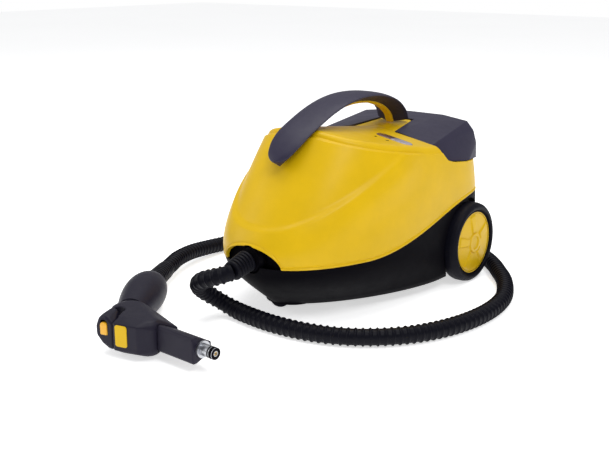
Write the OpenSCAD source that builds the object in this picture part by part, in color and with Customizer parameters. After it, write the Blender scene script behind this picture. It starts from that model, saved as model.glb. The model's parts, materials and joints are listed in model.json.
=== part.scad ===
// Canister steam cleaner with a corrugated steam hose and a steam gun.
// The machine faces -Y with its floor plane at Z = 0; the gun lies on its side in front of it.

/* [Body shell] */
// Distance from the widest section forward to the nose
nose_reach = 279; // [260:1:300]
// Distance from the widest section back to the rear wall
tail_reach = 136; // [125:1:150]
// Half width of the shells at the widest section
body_half_w = 129; // [122:1:134]
// Height of the control deck on the centre line
deck_h = 232.7; // [228:0.1:238]
// Wall thickness of the moulded shells
wall = 3; // [2.6:0.1:3.2]
// Height of the flat underside above the floor
ground_clearance = 13.5; // [12:0.5:15]

/* [Wheels] */
// Outer radius of a rear tyre
tyre_r = 59.5; // [56:0.5:60]
// Width of a rear tyre
tyre_w = 26; // [22:1:28]
// Distance between the outer faces of the rear tyres
track_w = 286; // [280:1:292]
// Position of the rear axle along Y
axle_y = 108; // [100:1:112]
// Radius of the caster wheel
caster_r = 14; // [12:0.5:15]
// Trail of the caster wheel behind its swivel axis
caster_trail = 16; // [12:1:18]

/* [Handle] */
// Half width of the carrying handle
handle_half_w = 28; // [24:1:30]
// Depth of the dark handle cover at its middle
cover_t = 12; // [10:0.5:13]
// Depth of the keel along the underside of the handle
core_t = 3; // [2:0.5:4]

/* [Lid] */
// Gap between the lid and the shell around it
lid_gap = 0.8; // [0.6:0.1:1.2]
// Wall thickness of the lid
lid_t = 2.6; // [2.2:0.1:3]

/* [Boiler] */
// Outer radius of the pressure vessel
boiler_r = 66; // [60:1:68]
// Height of each half of the vessel
boiler_half_h = 44; // [40:1:45]
// Bore radius of the filler neck
neck_bore_r = 9; // [8:0.5:10]

/* [Hose] */
// Diameter over the ribs of the steam hose
hose_d = 24; // [20:1:24]

/* [Gun] */
// Thickness of the gun's grip
gun_t = 54; // [50:1:58]
// Angle of the gun's flat face from the X axis
gun_angle = 12; // [8:1:16]
// Radius of the coupling spigot at the muzzle
spigot_r = 7.5; // [7:0.5:8]
// Length of the spigot's plain stretch
spigot_len = 12; // [9:1:13]

/* [Hidden] */
$fn = 48;

// Placement of the machine and the gun about the common origin
machine_x = 18.04;
machine_y = 125.06;
gun_at = [14.04, -278.16, 27.2];

// Colours
yellow = [0.95, 0.76, 0.12];
charcoal = [0.24, 0.23, 0.28];
black_plastic = [0.09, 0.09, 0.1];
steel = [0.72, 0.72, 0.74];
brass = [0.78, 0.62, 0.3];
alloy = [0.8, 0.8, 0.8];

// ---------- Body surface ----------
around = 48;                 // points around one section
widest_y = 40;               // station of the widest section
nose_z = 88;                 // height of the foremost point
under_cut = 57;              // how far the nose draws back at the underside
deck_fall = 0.12;            // fall of the control deck per millimetre towards the rear
deck_side_fall = 0.2;        // fall of the control deck per millimetre outwards
deck_crown = 30;             // half width of the rounded ridge
part_front_z = 80;           // parting line height at the nose
part_rear_z = 132;           // parting line height at the rear
arch_half_w = 47;            // half width of the hose arch in the nose
arch_rise = 26;              // rise of the hose arch over the parting line
shell_gap = 0.4;             // gap between the two shells at the parting line
rim_r = 9;                   // edge rounding between wall and deck

function lerp(a, b, t) = a + (b - a) * t;
function clamp(v, low, high) = min(max(v, low), high);
function ease(t) = let (c = clamp(t, 0, 1)) c * c * (3 - 2 * c);
function signed_pow(v, p) = sign(v) * pow(abs(v), p);
function nose_rise(z) = (z - nose_z) / 154;
function nose_back(z) = z < nose_z
    ? under_cut * pow((nose_z - z) / 75, 1.7)
    : 118 * (sqrt(pow(nose_rise(z), 2) + 0.02) - sqrt(0.02));
function tail_back(z) = 14 * pow(abs(z - 110) / 125, 2);
function half_width(z) = body_half_w - 9 * pow(abs(z - 105) / 95, 2) * (z > 105 ? 1 : 0.4);
function nose_power(z) = lerp(1.55, 2.4, ease((z - 13) / 60));
function section_point(phi, z) =
    let (s = sin(phi), c = cos(phi), n = c > 0 ? nose_power(z) : 4.6)
    let (reach = c > 0 ? nose_reach - nose_back(z) : tail_reach - tail_back(z))
    [half_width(z) * signed_pow(s, 2 / n), widest_y - reach * signed_pow(c, 2 / n)];
function section_normal(phi, z) =
    let (d = section_point(phi + 0.5, z) - section_point(phi - 0.5, z)) [d[1], -d[0]] / norm(d);
function wall_point(phi, z, inset) =
    let (p = section_point(phi, z) - inset * section_normal(phi, z)) [p[0], p[1], z];
function deck_z(x, y) =
    deck_h - deck_fall * min(y, 60) - deck_side_fall * (sqrt(x * x + deck_crown * deck_crown) - deck_crown);
function rim_z(phi, z, turns) =
    turns == 0 ? z : let (p = section_point(phi, z)) rim_z(phi, deck_z(p[0], p[1]), turns - 1);
function part_z(y) = lerp(part_front_z, part_rear_z, ease((y + 130) / 280));
function arch_z(p) = p[1] < 0 && abs(p[0]) < arch_half_w
    ? arch_rise * sqrt(1 - pow(p[0] / arch_half_w, 2)) : 0;
function edge_z(phi) = let (p = section_point(phi, 95)) part_z(p[1]) + arch_z(p);

function turn(i) = 360 * i / around;
wall_steps = [0, 0.12, 0.26, 0.42, 0.58, 0.72, 0.84, 0.93, 1];
deck_steps = [0.8, 0.55, 0.28];
function upper_wall_ring(f, inset) = [
    for (i = [0:around - 1])
        let (phi = turn(i), low = edge_z(phi), top = rim_z(phi, 220, 5) - rim_r)
        wall_point(phi, lerp(low, top, f), inset)
];
function rim_ring(inset, drop, lower) = [
    for (i = [0:around - 1])
        let (phi = turn(i), z = rim_z(phi, 220, 5), p = wall_point(phi, z, inset))
        [p[0], p[1], z - drop - lower]
];
function deck_ring(s, lower) = [
    for (i = [0:around - 1])
        let (phi = turn(i), z = rim_z(phi, 220, 5), p = wall_point(phi, z, rim_r))
        let (x = p[0] * s, y = lerp(20, p[1], s))
        [x, y, deck_z(x, y) - lower]
];
function upper_skin(inset) = concat(
    [for (f = wall_steps) upper_wall_ring(f, inset)],
    [rim_ring(2.6 + inset, 2.6, inset * 0.4), deck_ring(1, inset)],
    [for (s = deck_steps) deck_ring(s, inset)]
);
function lower_ring(f, inset) = [
    for (i = [0:around - 1])
        let (phi = turn(i), high = part_z(section_point(phi, 95)[1]) - shell_gap)
        wall_point(phi, lerp(high, ground_clearance + 8, f), inset)
];
function floor_ring(s, z, inset) = [
    for (i = [0:around - 1])
        let (p = wall_point(turn(i), ground_clearance + 4, inset + 3))
        [p[0] * s, lerp(20, p[1], s), z]
];
function lower_skin(inset) = concat(
    [for (f = [0, 0.25, 0.5, 0.75, 1]) lower_ring(f, inset)],
    [for (s = [1, 0.6, 0.25]) floor_ring(s, ground_clearance + inset, inset)]
);

// The same rings with their points in the opposite order
function reversed(rings) = [for (r = rings) flipped(r)];

// Thin shell between an outer and an inner stack of rings, each closed by a tip point.
module thin_shell(outer, inner, tip_outer, tip_inner) {
    n = len(outer[0]);
    m = len(outer);
    points = concat([for (r = outer) each r], [for (r = inner) each r], [tip_outer, tip_inner]);
    second = n * m;
    tips = 2 * n * m;
    skin = [for (k = [0:m - 2], i = [0:n - 1]) let (j = (i + 1) % n, a = k * n)
        [a + i, a + j, a + n + j, a + n + i]];
    lining = [for (k = [0:m - 2], i = [0:n - 1]) let (j = (i + 1) % n, a = second + k * n)
        [a + i, a + n + i, a + n + j, a + j]];
    last = (m - 1) * n;
    caps = [for (i = [0:n - 1]) let (j = (i + 1) % n)
        each [[last + i, last + j, tips], [second + last + j, second + last + i, tips + 1]]];
    edge = [for (i = [0:n - 1]) let (j = (i + 1) % n) [j, i, second + i, second + j]];
    quads = concat(skin, lining, edge);
    triangles = [for (q = quads) each [[q[0], q[1], q[2]], [q[0], q[2], q[3]]]];
    polyhedron(points, concat(triangles, caps));
}

module place_machine() {
    translate([machine_x, machine_y, 0]) children();
}

// Cylinder along X, centred at the given point
module rod_x(r, length, at = [0, 0, 0]) {
    translate(at) rotate([0, 90, 0]) cylinder(h = length, r = r, center = true);
}

// Cylinder along Y, centred at the given point
module rod_y(r, length, at = [0, 0, 0]) {
    translate(at) rotate([90, 0, 0]) cylinder(h = length, r = r, center = true);
}

module mirror_pair() {
    children();
    mirror([1, 0, 0]) children();
}

// ---------- Rear lid region ----------
notch_front_x = 42;          // half width of the notch at its open end
notch_front_y = 26;          // front corners of the lid beside the notch
notch_rear_x = 26;           // half width of the notch behind the handle
notch_rear_y = 112;          // rear end of the notch
hinge_y = 168;
hinge_z = 184;
hinge_pin_r = 2;
hinge_span = 98;             // length of the recess for the hinge in the lid
ear_x = 36;                  // distance of the lid's hinge ears from the centre line
bracket_x = 44;              // distance of the brackets that hold the pin from the centre line
lid_side = [[38, 300], [38, 211], [46, 199], [56, 189], [74, 184], [112, 179], [190, 175], [190, 300]];

module notch_plan(grow) {
    polygon([
        [-notch_front_x - grow, notch_front_y - 30], [notch_front_x + grow, notch_front_y - 30],
        [notch_front_x + grow, notch_front_y + 4], [notch_rear_x + grow, notch_rear_y + grow],
        [-notch_rear_x - grow, notch_rear_y + grow], [-notch_front_x - grow, notch_front_y + 4]
    ]);
}

// Space taken by the lid: side profile swept across the body, less the central spine
module lid_region(grow) {
    difference() {
        translate([-160, 0, 0]) rotate([90, 0, 90]) linear_extrude(320)
            translate([grow, grow]) polygon(lid_side);
        translate([0, 0, 150]) linear_extrude(170) notch_plan(grow);
    }
}

// ---------- Machine body ----------
well_r = tyre_r + 6;
well_inner_x = track_w / 2 - tyre_w - 7;
axle_z = tyre_r;
axle_r = 4;
caster_y = -148;
caster_cup_r = caster_trail + caster_r + 3;
caster_cup_h = 30;
gland_x = 62;
gland_z = 46;
gland_r = 8;
lens_x = 74;                 // centre of the lamp window
lens_y = -12;
lens_r = 11;                 // end radius of the lamp window
lens_span = 36;              // distance between its end centres
screw_spots = [[60, -110], [96, 20], [60, 150]];

module upper_shell() {
    color(yellow) place_machine() difference() {
        thin_shell(reversed(upper_skin(0)), reversed(upper_skin(wall)), [0, 20, deck_z(0, 20)],
            [0, 20, deck_z(0, 20) - wall]);
        lid_region(0);
        rod_y(collar_r + 0.4, 60, [0, socket_y - 20, socket_z]);
        place_lens() translate([0, 0, -12]) window_prism(lens_r + 0.3, 24);
        cover_band();
        core_band();
    }
}

module lower_shell() {
    color(black_plastic) place_machine() difference() {
        union() {
            difference() {
                thin_shell(lower_skin(0), lower_skin(wall), [0, 20, ground_clearance],
                    [0, 20, ground_clearance + wall]);
                rod_x(well_r, 60, [well_inner_x + 30, axle_y, axle_z]);
                rod_x(well_r, 60, [-well_inner_x - 30, axle_y, axle_z]);
            }
            mirror_pair() wheel_well();
        }
        translate([0, caster_y, ground_clearance - 1]) cylinder(h = 3 * wall, r = caster_cup_r + wall);
        rod_x(axle_r + 0.05, 260, [0, axle_y, axle_z]);
        rod_y(collar_r + 0.4, 60, [0, socket_y - 20, socket_z]);
        rod_y(gland_r, 40, [gland_x, widest_y + tail_reach - 4, gland_z]);
        for (s = [-1, 1], p = screw_spots)
            translate([s * p[0], p[1], 0]) cylinder(h = 30, r = 2.2);
    }
}

// Inner wall and rim of one wheel well, with the axle boss
module wheel_well() {
    difference() {
        union() {
            rod_x(well_r + wall, 12, [well_inner_x + 3, axle_y, axle_z]);
            rod_x(11, 14, [well_inner_x - 7, axle_y, axle_z]);
        }
        rod_x(well_r, 12, [well_inner_x + 6, axle_y, axle_z]);
        translate([0, axle_y - 80, -40]) cube([160, 160, 40 + ground_clearance]);
        translate([0, axle_y - 80, part_rear_z - 5]) cube([160, 160, 40]);
        translate([0, 150, -40]) cube([160, 60, 240]);
    }
}

socket_y = -220;
socket_z = 88;
collar_r = 19;
pipe_bore = 7;

module hose_socket_plate() {
    color(black_plastic) place_machine() translate([0, socket_y, 0]) rotate([90, 0, 0])
        difference() {
            linear_extrude(4, center = true) intersection() {
                translate([0, part_front_z]) circle(r = arch_half_w + 3);
                translate([-60, part_front_z - 2]) square([120, arch_rise + 8]);
            }
            translate([0, socket_z, 0]) cylinder(h = 10, r = collar_r - 4, center = true);
        }
}

module hose_collar() {
    color(black_plastic) place_machine() translate([0, socket_y - 2, socket_z]) rotate([90, 0, 0])
        rotate_extrude() polygon([
            [pipe_bore, -14], [collar_r - 4.4, -14], [collar_r - 4.4, 0], [collar_r, 0], [collar_r, 8],
            [collar_r - 2, 11], [collar_r - 3, 13], [pipe_bore, 13]
        ]);
}

// ---------- Hose ----------
hose_route = [
    [0, -270, 80], [-5, -278, 77], [-19, -285, 72], [-38, -286, 64], [-55, -275, 51],
    [-60, -257, 36], [-50, -241, 22], [-29, -235, 13], [-4, -239, 12], [46, -244, 12],
    [100, -239, 12], [146, -222, 12], [184, -193, 12], [212, -156, 12], [231, -110, 12],
    [240, -62, 12], [240, -14, 12], [231, 32, 12], [214, 71, 12], [192, 108, 12],
    [168, 138, 12], [146, 164, 12], [118, 190, 12], [80, 212, 12], [30, 228, 12],
    [-40, 236, 12], [-112, 222, 12], [-176, 182, 12], [-222, 126, 12], [-248, 62, 12],
    [-259, 0, 12], [-257, -56, 16], [-246, -100, 21], [-230, -142, 24], [-212, -173, 26],
    [-196, -201, 27]
];
hose_sides = 10;

function spline_point(p, i, t) =
    let (last = len(p) - 1, a = i > 0 ? p[i - 1] : 2 * p[0] - p[1], b = p[i], c = p[i + 1])
    let (d = i + 2 <= last ? p[i + 2] : 2 * p[last] - p[last - 1])
    (2 * b + (c - a) * t + (2 * a - 5 * b + 4 * c - d) * t * t + (3 * b - a - 3 * c + d) * t * t * t) / 2;
function unit(v) = v / norm(v);
function heading(p, i) = unit(p[min(i + 1, len(p) - 1)] - p[max(i - 1, 0)]);
function hoop(p, i, r, sides, across) =
    let (t = heading(p, i), side = unit(cross(t, across)), up = cross(side, t))
    [for (k = [0:sides - 1]) p[i] + r * (cos(360 * k / sides) * side + sin(360 * k / sides) * up)];

// Tube through the given centre points; across is a direction that the path never takes
module swept_tube(p, r, sides, across) {
    m = len(p);
    points = [for (i = [0:m - 1]) each hoop(p, i, r, sides, across)];
    skin = [for (i = [0:m - 2], k = [0:sides - 1]) let (n = (k + 1) % sides, a = i * sides)
        [a + k, a + n, a + sides + n, a + sides + k]];
    start = [[for (k = [sides - 1:-1:0]) k]];
    end = [[for (k = [0:sides - 1]) (m - 1) * sides + k]];
    polyhedron(points, concat(skin, start, end));
}

hose_points = concat(
    [for (i = [0:len(hose_route) - 2], t = [0, 0.5]) spline_point(hose_route, i, t)],
    [hose_route[len(hose_route) - 1]]
);
sleeve_start = [0, socket_y - 20.4, socket_z];

module steam_hose() {
    color(black_plastic) place_machine() swept_tube(hose_points, hose_d / 2, hose_sides, [0, 0, 1]);
}

// Ribbed, tapered bend relief along a straight line between two points
module bend_relief(from, to, r1, r2, ribs) {
    length = norm(to - from);
    d = (to - from) / length;
    pitch = length / ribs;
    translate(from) rotate([0, acos(d[2]), atan2(d[1], d[0])]) {
        rotate_extrude() polygon(concat(
            [[5, 0]],
            [for (i = [0:ribs - 1], s = [0, 1, 2, 3])
                let (z = (i + s / 4) * pitch, r = lerp(r1, r2, z / length))
                [s == 1 || s == 2 ? r : r - 1.6, z]],
            [[r2 - 1.6, length], [5, length]]
        ));
    }
}

module front_sleeve() {
    color(black_plastic) place_machine()
        bend_relief(sleeve_start, sleeve_start + [0, -29, -8], 15, 13.5, 6);
}

module gun_sleeve() {
    color(black_plastic) place_machine()
        bend_relief([-171, -247, 27.2], [-196, -201, 27.2], 14.5, 13, 8);
}

// ---------- Handle ----------
handle_path = [              // [y, z, share of the half width]
    [-182, 211, 0.3], [-178, 217, 0.58], [-170, 225, 0.78], [-159, 234, 0.91], [-142, 245, 0.98],
    [-116, 257, 1], [-88, 268, 1], [-56, 277, 1], [-20, 282, 1], [16, 281, 1],
    [48, 275, 1], [72, 265, 1], [90, 251, 0.98], [98, 236, 0.97]
];

function path_normal(p, i) =
    let (a = p[max(i - 1, 0)], b = p[min(i + 1, len(p) - 1)], d = unit([b[0] - a[0], b[1] - a[1]]))
    [-d[1], d[0]];
// Cross-section that follows the path; shape gives [share of half width, offset along the normal]
function band_section(p, i, shape) =
    let (n = path_normal(p, i))
    [for (s = shape) [s[0] * p[i][2] * handle_half_w, p[i][0] + n[0] * s[1], p[i][1] + n[1] * s[1]]];

module band(p, shape) {
    n = len(shape);
    m = len(p);
    points = [for (i = [0:m - 1]) each band_section(p, i, shape)];
    skin = [for (i = [0:m - 2], k = [0:n - 1]) let (j = (k + 1) % n, a = i * n)
        each [[a + k, a + j, a + n + j], [a + k, a + n + j, a + n + k]]];
    start = [[for (k = [n - 1:-1:0]) k]];
    end = [[for (k = [0:n - 1]) (m - 1) * n + k]];
    polyhedron(points, concat(skin, start, end));
}

keel_share = 0.36;           // half width of the keel as a share of the handle's
cover_shape = [[-keel_share, -cover_t], [-1, -3.5], [-1, -1.5], [-0.8, 0.3], [-0.4, 1.6], [0, 2],
    [0.4, 1.6], [0.8, 0.3], [1, -1.5], [1, -3.5], [keel_share, -cover_t]];
core_shape = [[-keel_share, -cover_t - 0.1], [keel_share, -cover_t - 0.1],
    [0.8 * keel_share, -cover_t - core_t], [-0.8 * keel_share, -cover_t - core_t]];

// The shape with its points in the opposite order
function flipped(shape) = [for (i = [len(shape) - 1:-1:0]) shape[i]];

module cover_band() {
    band(handle_path, flipped(cover_shape));
}

module handle_cover() {
    color(charcoal) place_machine() cover_band();
}

module core_band() {
    band([for (i = [3:len(handle_path) - 1]) handle_path[i]], flipped(core_shape));
}

module handle_core() {
    color(yellow) place_machine() core_band();
}

// ---------- Rear lid ----------
lid_hood = [
    [0, 24, 226], [42, 26, 224], [104, 39, 211], [124, 40, 170], [124, 100, 165], [112, 156, 165],
    [109, 159, 200], [104, 158, 218], [93, 157, 231], [50, 160, 236], [0, 161, 236], [0, 178, 165],
    [90, 172, 165], [96, 168, 205]
];

module hood(inset) {
    hull() for (s = [-1, 1], p = lid_hood)
        translate([s * p[0] * (1 - inset / 110), lerp(p[1], 95, inset / 70), p[2] - inset])
            cube(0.1, center = true);
}

module rear_lid() {
    color(charcoal) place_machine() {
        difference() {
            intersection() {
                difference() {
                    hood(0);
                    hood(lid_t);
                }
                lid_region(lid_gap);
            }
            rod_x(hinge_pin_r + 3.4, hinge_span, [0, hinge_y, hinge_z]);
            translate([-110, hinge_y - 8, hinge_z - 20]) cube([220, 30, 15]);
            translate([-hinge_span / 2, hinge_y - 8, hinge_z - 20]) cube([hinge_span, 30, 24]);
        }
        for (x = [-ear_x, ear_x])
            difference() {
                hull() {
                    rod_x(hinge_pin_r + 2, 6, [x, hinge_y, hinge_z]);
                    translate([x - 3, hinge_y - 1, hinge_z + 10]) cube([6, 2, 10]);
                }
                rod_x(hinge_pin_r + 0.06, 20, [x, hinge_y, hinge_z]);
            }
    }
}

module lid_hinge_pin() {
    color(steel) place_machine() rod_x(hinge_pin_r, 2 * bracket_x, [0, hinge_y, hinge_z]);
}

// ---------- Tray under the lid, with the hole for the filler neck ----------
neck_y = 127;
tray_z = 172;
tray_skirt = 3.5;              // height of the stiffening skirt under the tray
tray_t = 2.5;
tray_plan = [[46, 44], [104, 46], [108, 74], [106, 140], [92, 155], [-92, 155], [-106, 140],
    [-108, 74], [-104, 46], [-46, 44], [-22, 103], [22, 103]];

module accessory_tray() {
    color(yellow) place_machine() difference() {
        translate([0, 0, tray_z - tray_skirt]) linear_extrude(tray_skirt + tray_t) polygon(tray_plan);
        translate([0, 0, tray_z - tray_skirt - 1]) linear_extrude(tray_skirt + 1)
            offset(delta = -tray_t) polygon(tray_plan);
        translate([0, neck_y, tray_z - tray_skirt - 1]) cylinder(h = 20, r = 19.5);
    }
}

// Two brackets that stand on the tray and hold the hinge pin
module lid_brackets() {
    color(steel) place_machine() for (x = [-bracket_x, bracket_x])
        difference() {
            hull() {
                rod_x(hinge_pin_r + 2.5, 5, [x, hinge_y, hinge_z]);
                translate([x - 2.5, 146, tray_z + tray_t]) cube([5, 8, 3]);
            }
            rod_x(hinge_pin_r, 20, [x, hinge_y, hinge_z]);
        }
}

// ---------- Boiler ----------
boiler_y = 88;
boiler_mid_z = 120;
flange_r = boiler_r + 9;
bolt_ring_r = boiler_r + 4.5;
boiler_wall = 2.5;
neck_h = 34;

module vessel_half() {
    r = boiler_r;
    h = boiler_half_h;
    w = boiler_wall;
    rotate_extrude() polygon(concat(
        [[flange_r, 1], [flange_r, 3.4], [r, 3.4]],
        [for (a = [0:15:90]) [r - 14 + 14 * cos(a), h - 14 + 14 * sin(a)]],
        [[0, h], [0, h - w]],
        [for (a = [90:-15:0]) [r - 14 + (14 - w) * cos(a), h - 14 + (14 - w) * sin(a)]],
        [[r - w, 1]]
    ));
}

module flange_holes() {
    for (a = [30:60:330])
        rotate([0, 0, a]) translate([bolt_ring_r, 0, -10]) cylinder(h = 20, r = 2.1);
}

module boiler_top() {
    color(alloy) place_machine() translate([0, boiler_y, boiler_mid_z]) difference() {
        vessel_half();
        flange_holes();
        translate([0, neck_y - boiler_y, boiler_half_h - 5]) cylinder(h = 10, r = 12.5);
        translate([-30, -16, boiler_half_h - 5]) cylinder(h = 10, r = 4);
        translate([0, -40, boiler_half_h - 5]) cylinder(h = 10, r = pipe_r);
    }
}

module boiler_bottom() {
    color(alloy) place_machine() translate([0, boiler_y, boiler_mid_z]) mirror([0, 0, 1]) difference() {
        vessel_half();
        flange_holes();
    }
}

module boiler_gasket() {
    color(black_plastic) place_machine() translate([0, boiler_y, boiler_mid_z]) difference() {
        translate([0, 0, -1]) cylinder(h = 2, r = flange_r);
        translate([0, 0, -2]) cylinder(h = 4, r = boiler_r - boiler_wall);
        flange_holes();
    }
}

module boiler_bolts() {
    color(steel) place_machine() translate([0, boiler_y, boiler_mid_z])
        for (a = [30:60:330])
            rotate([0, 0, a]) translate([bolt_ring_r, 0, 0]) {
                translate([0, 0, -6.4]) cylinder(h = 10, r = 2);
                translate([0, 0, 3.4]) cylinder(h = 3, r = 4, $fn = 6);
                translate([0, 0, -6.4]) cylinder(h = 3, r = 4, $fn = 6);
            }
}

module boiler_legs() {
    leg_base = ground_clearance + wall;
    color(steel) place_machine() for (a = [45:90:315])
        translate([0, boiler_y, 0]) rotate([0, 0, a]) translate([boiler_r - 18, 0, leg_base])
            cylinder(h = boiler_mid_z - boiler_half_h - leg_base + 0.2, r = 4);
}

element_r = 34;

module heating_element() {
    color(steel) place_machine() translate([0, boiler_y, boiler_mid_z - boiler_half_h - 4]) {
        rotate_extrude(angle = 300) translate([element_r, 0]) circle(r = 4, $fn = 24);
        for (a = [0, 300])
            rotate([0, 0, a]) translate([element_r, 0, -16]) cylinder(h = 16, r = 3);
    }
}

module safety_thermostat() {
    color(black_plastic) place_machine()
        translate([24, 58, boiler_mid_z + boiler_half_h]) {
            cylinder(h = 3.6, r = 9);
            translate([-6, -3, 3.6]) cube([12, 6, 3]);
        }
}

module pressure_switch() {
    color(brass) place_machine()
        translate([-30, boiler_y - 16, boiler_mid_z + boiler_half_h - 5]) {
            cylinder(h = 6, r = 4);
            translate([0, 0, 5.1]) cylinder(h = 4, r = 7, $fn = 6);
        }
}

valve_y = -92;
valve_z = 66;

module solenoid_valve() {
    color(brass) place_machine() translate([0, valve_y, valve_z]) {
        translate([-12, -14, -12]) cube([24, 28, 24]);
        translate([0, 0, 12]) cylinder(h = 30, r = 14);
        translate([-9, -10, -49.3]) cube([18, 20, 37.3]);
    }
}

pipe_r = 3.2;

module steam_pipe() {
    color(steel) place_machine() {
        swept_tube([[0, 48, 160], [0, 48, 166], [0, 42, 171], [0, 30, 173], [0, 14, 171], [0, 3, 162],
            [0, -3, 142], [0, -8, 116], [0, -28, 90], [0, -54, 73], [0, -78, valve_z]],
            pipe_r, 10, [1, 0, 0]);
        swept_tube([[0, -106, valve_z], [0, -130, 68], [0, -160, 76], [0, -188, 85], [0, -205, socket_z]],
            pipe_r, 10, [1, 0, 0]);
    }
}

// ---------- Filler neck and cap ----------
neck_base_z = boiler_mid_z + boiler_half_h - 4;
cap_base_z = neck_base_z + neck_h + 0.4;

module filler_neck() {
    color(brass) place_machine() translate([0, neck_y, neck_base_z]) difference() {
        union() {
            cylinder(h = neck_h, r = 12.5);
            translate([0, 0, 4]) cylinder(h = 4, r = 15, $fn = 6);
        }
        translate([0, 0, -1]) cylinder(h = neck_h + 2, r = neck_bore_r);
    }
}

module cap_plug() {
    color(brass) place_machine() translate([0, neck_y, neck_base_z]) difference() {
        union() {
            translate([0, 0, neck_h - 16]) cylinder(h = 16.4, r = neck_bore_r - 0.3);
            translate([0, 0, neck_h + 0.4]) cylinder(h = 8, r = 5);
        }
        translate([0, 0, neck_h - 17]) cylinder(h = 12, r = 3);
    }
}

module cap_seal() {
    color("black") place_machine() translate([0, neck_y, neck_base_z + neck_h + 1.6])
        rotate_extrude() translate([6.3, 0]) circle(r = 1.2, $fn = 24);
}

module filler_cap() {
    color(black_plastic) place_machine() translate([0, neck_y, cap_base_z + 2.6]) difference() {
        union() {
            cylinder(h = 15, r = 16);
            for (a = [0:30:330])
                rotate([0, 0, a]) translate([15.4, 0, 0]) cylinder(h = 15, r = 2.4);
        }
        translate([0, 0, -1]) cylinder(h = 6.6, r = 5.05);
    }
}

// ---------- Lamps and wiring ----------
module place_lens() {
    fall = deck_side_fall * lens_x / sqrt(lens_x * lens_x + deck_crown * deck_crown);
    translate([lens_x, lens_y, deck_z(lens_x, lens_y)]) rotate([-atan(deck_fall), atan(fall), 0]) children();
}

// Prism with two round ends, lying across the deck
module window_prism(r, height) {
    translate([-lens_span / 2, 0, 0]) cylinder(h = height, r = r);
    translate([lens_span / 2, 0, 0]) cylinder(h = height, r = r);
    translate([-lens_span / 2, -r, 0]) cube([lens_span, 2 * r, height]);
}

// One half of the lamp window; side is -1 for the inner half and 1 for the outer half
module lens_piece(side) {
    place_lens() intersection() {
        union() {
            translate([0, 0, -4.2]) window_prism(lens_r, 5);
            translate([0, 0, -5.8]) window_prism(lens_r + 2.4, 1.8);
        }
        translate([side < 0 ? -60.2 : 0.2, -30, -10]) cube([60, 60, 20]);
    }
}

module power_lens() {
    color([0.5, 0.2, 0.12]) place_machine() lens_piece(-1);
}

module ready_lens() {
    color([0.8, 0.75, 0.85]) place_machine() lens_piece(1);
}

module lamp_holder() {
    color("white") place_machine() place_lens() translate([-26, -10, -16]) difference() {
        cube([52, 20, 10]);
        for (x = [13, 39])
            translate([x, 10, 4]) cylinder(h = 10, r = 4);
    }
}

module terminal_block() {
    color("white") place_machine() translate([66, -40, ground_clearance + wall]) difference() {
        cube([18, 50, 16]);
        for (y = [8:11.5:44])
            translate([9, y, 6]) cylinder(h = 12, r = 2.5);
    }
}

module mains_gland() {
    color("black") place_machine()
        translate([gland_x, widest_y + tail_reach, gland_z]) rotate([90, 0, 0]) rotate_extrude()
            polygon([[4, -7], [8, -7], [11, -4], [11, 3], [gland_r, 3], [gland_r, 16], [4, 16]]);
}

// ---------- Wheels ----------
hub_bore = axle_r + 0.05;
tyre_x = track_w / 2;

module rear_axle() {
    color(steel) place_machine() rod_x(axle_r, track_w - 22, [0, axle_y, axle_z]);
}

// A revolved wheel piece; profile is [radius, distance inwards from the outer face]
module wheel_turned(profile) {
    translate([tyre_x, axle_y, axle_z]) rotate([0, -90, 0]) rotate_extrude() polygon(profile);
}

module wheel_hub() {
    color(black_plastic) difference() {
        wheel_turned([[hub_bore, 10], [12, 10], [12, 16], [44, 16], [44, 3], [49, 3], [49, 24], [46, 24],
            [44, 20], [12, 20], [12, 29], [hub_bore, 29]]);
        for (a = [0:60:300])
            translate([tyre_x - 18, axle_y, axle_z]) rotate([a, 0, 0]) rod_x(7, 10, [0, 28, 0]);
    }
}

module tyre() {
    color("black") wheel_turned([[49.1, 1.5], [52, 0], [55.5, 1], [58, 4], [tyre_r, 9],
        [tyre_r, tyre_w - 7], [58, tyre_w - 2], [54, tyre_w], [49.1, tyre_w]]);
}

module hubcap() {
    color(yellow) union() {
        wheel_turned([[0, 1], [12, 0], [43.8, 2.4], [43.8, 6], [41, 6], [38, 4.6], [0, 4.2]]);
        for (a = [0:72:288])
            translate([tyre_x, axle_y, axle_z]) rotate([a, 0, 0])
                translate([-3.4, 10.5, -2.5]) cube([4.2, 27, 5]);
        wheel_turned([[8.6, -1.4], [13.4, -1.4], [13.4, 3], [8.6, 3]]);
    }
}

module left_wheel_hub() {
    place_machine() wheel_hub();
}
module left_tyre() {
    place_machine() tyre();
}
module left_hubcap() {
    place_machine() hubcap();
}
module right_wheel_hub() {
    place_machine() mirror([1, 0, 0]) wheel_hub();
}
module right_tyre() {
    place_machine() mirror([1, 0, 0]) tyre();
}
module right_hubcap() {
    place_machine() mirror([1, 0, 0]) hubcap();
}

// ---------- Caster ----------
caster_heading = 215;
caster_axle_r = 2;
caster_stem_r = 5;

module place_caster() {
    translate([0, caster_y, 0]) rotate([0, 0, caster_heading]) children();
}

module caster_fork() {
    top = ground_clearance + caster_cup_h - wall - 0.6;
    color(charcoal) place_machine() place_caster() {
        translate([0, 0, top - 4]) cylinder(h = 4, r = 12);
        translate([0, 0, top - 1]) cylinder(h = 15, r = caster_stem_r);
        difference() {
            union() for (s = [-1, 1])
                hull() {
                    rod_y(5, 2.5, [caster_trail, s * 8.6, caster_r]);
                    translate([0, s * 8.6, top - 2]) cube([14, 2.5, 4], center = true);
                }
            rod_y(caster_axle_r, 30, [caster_trail, 0, caster_r]);
        }
        translate([-7, -9.85, top - 4]) cube([14, 19.7, 4]);
    }
}

module caster_axle() {
    color(steel) place_machine() place_caster() rod_y(caster_axle_r, 21, [caster_trail, 0, caster_r]);
}

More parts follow.
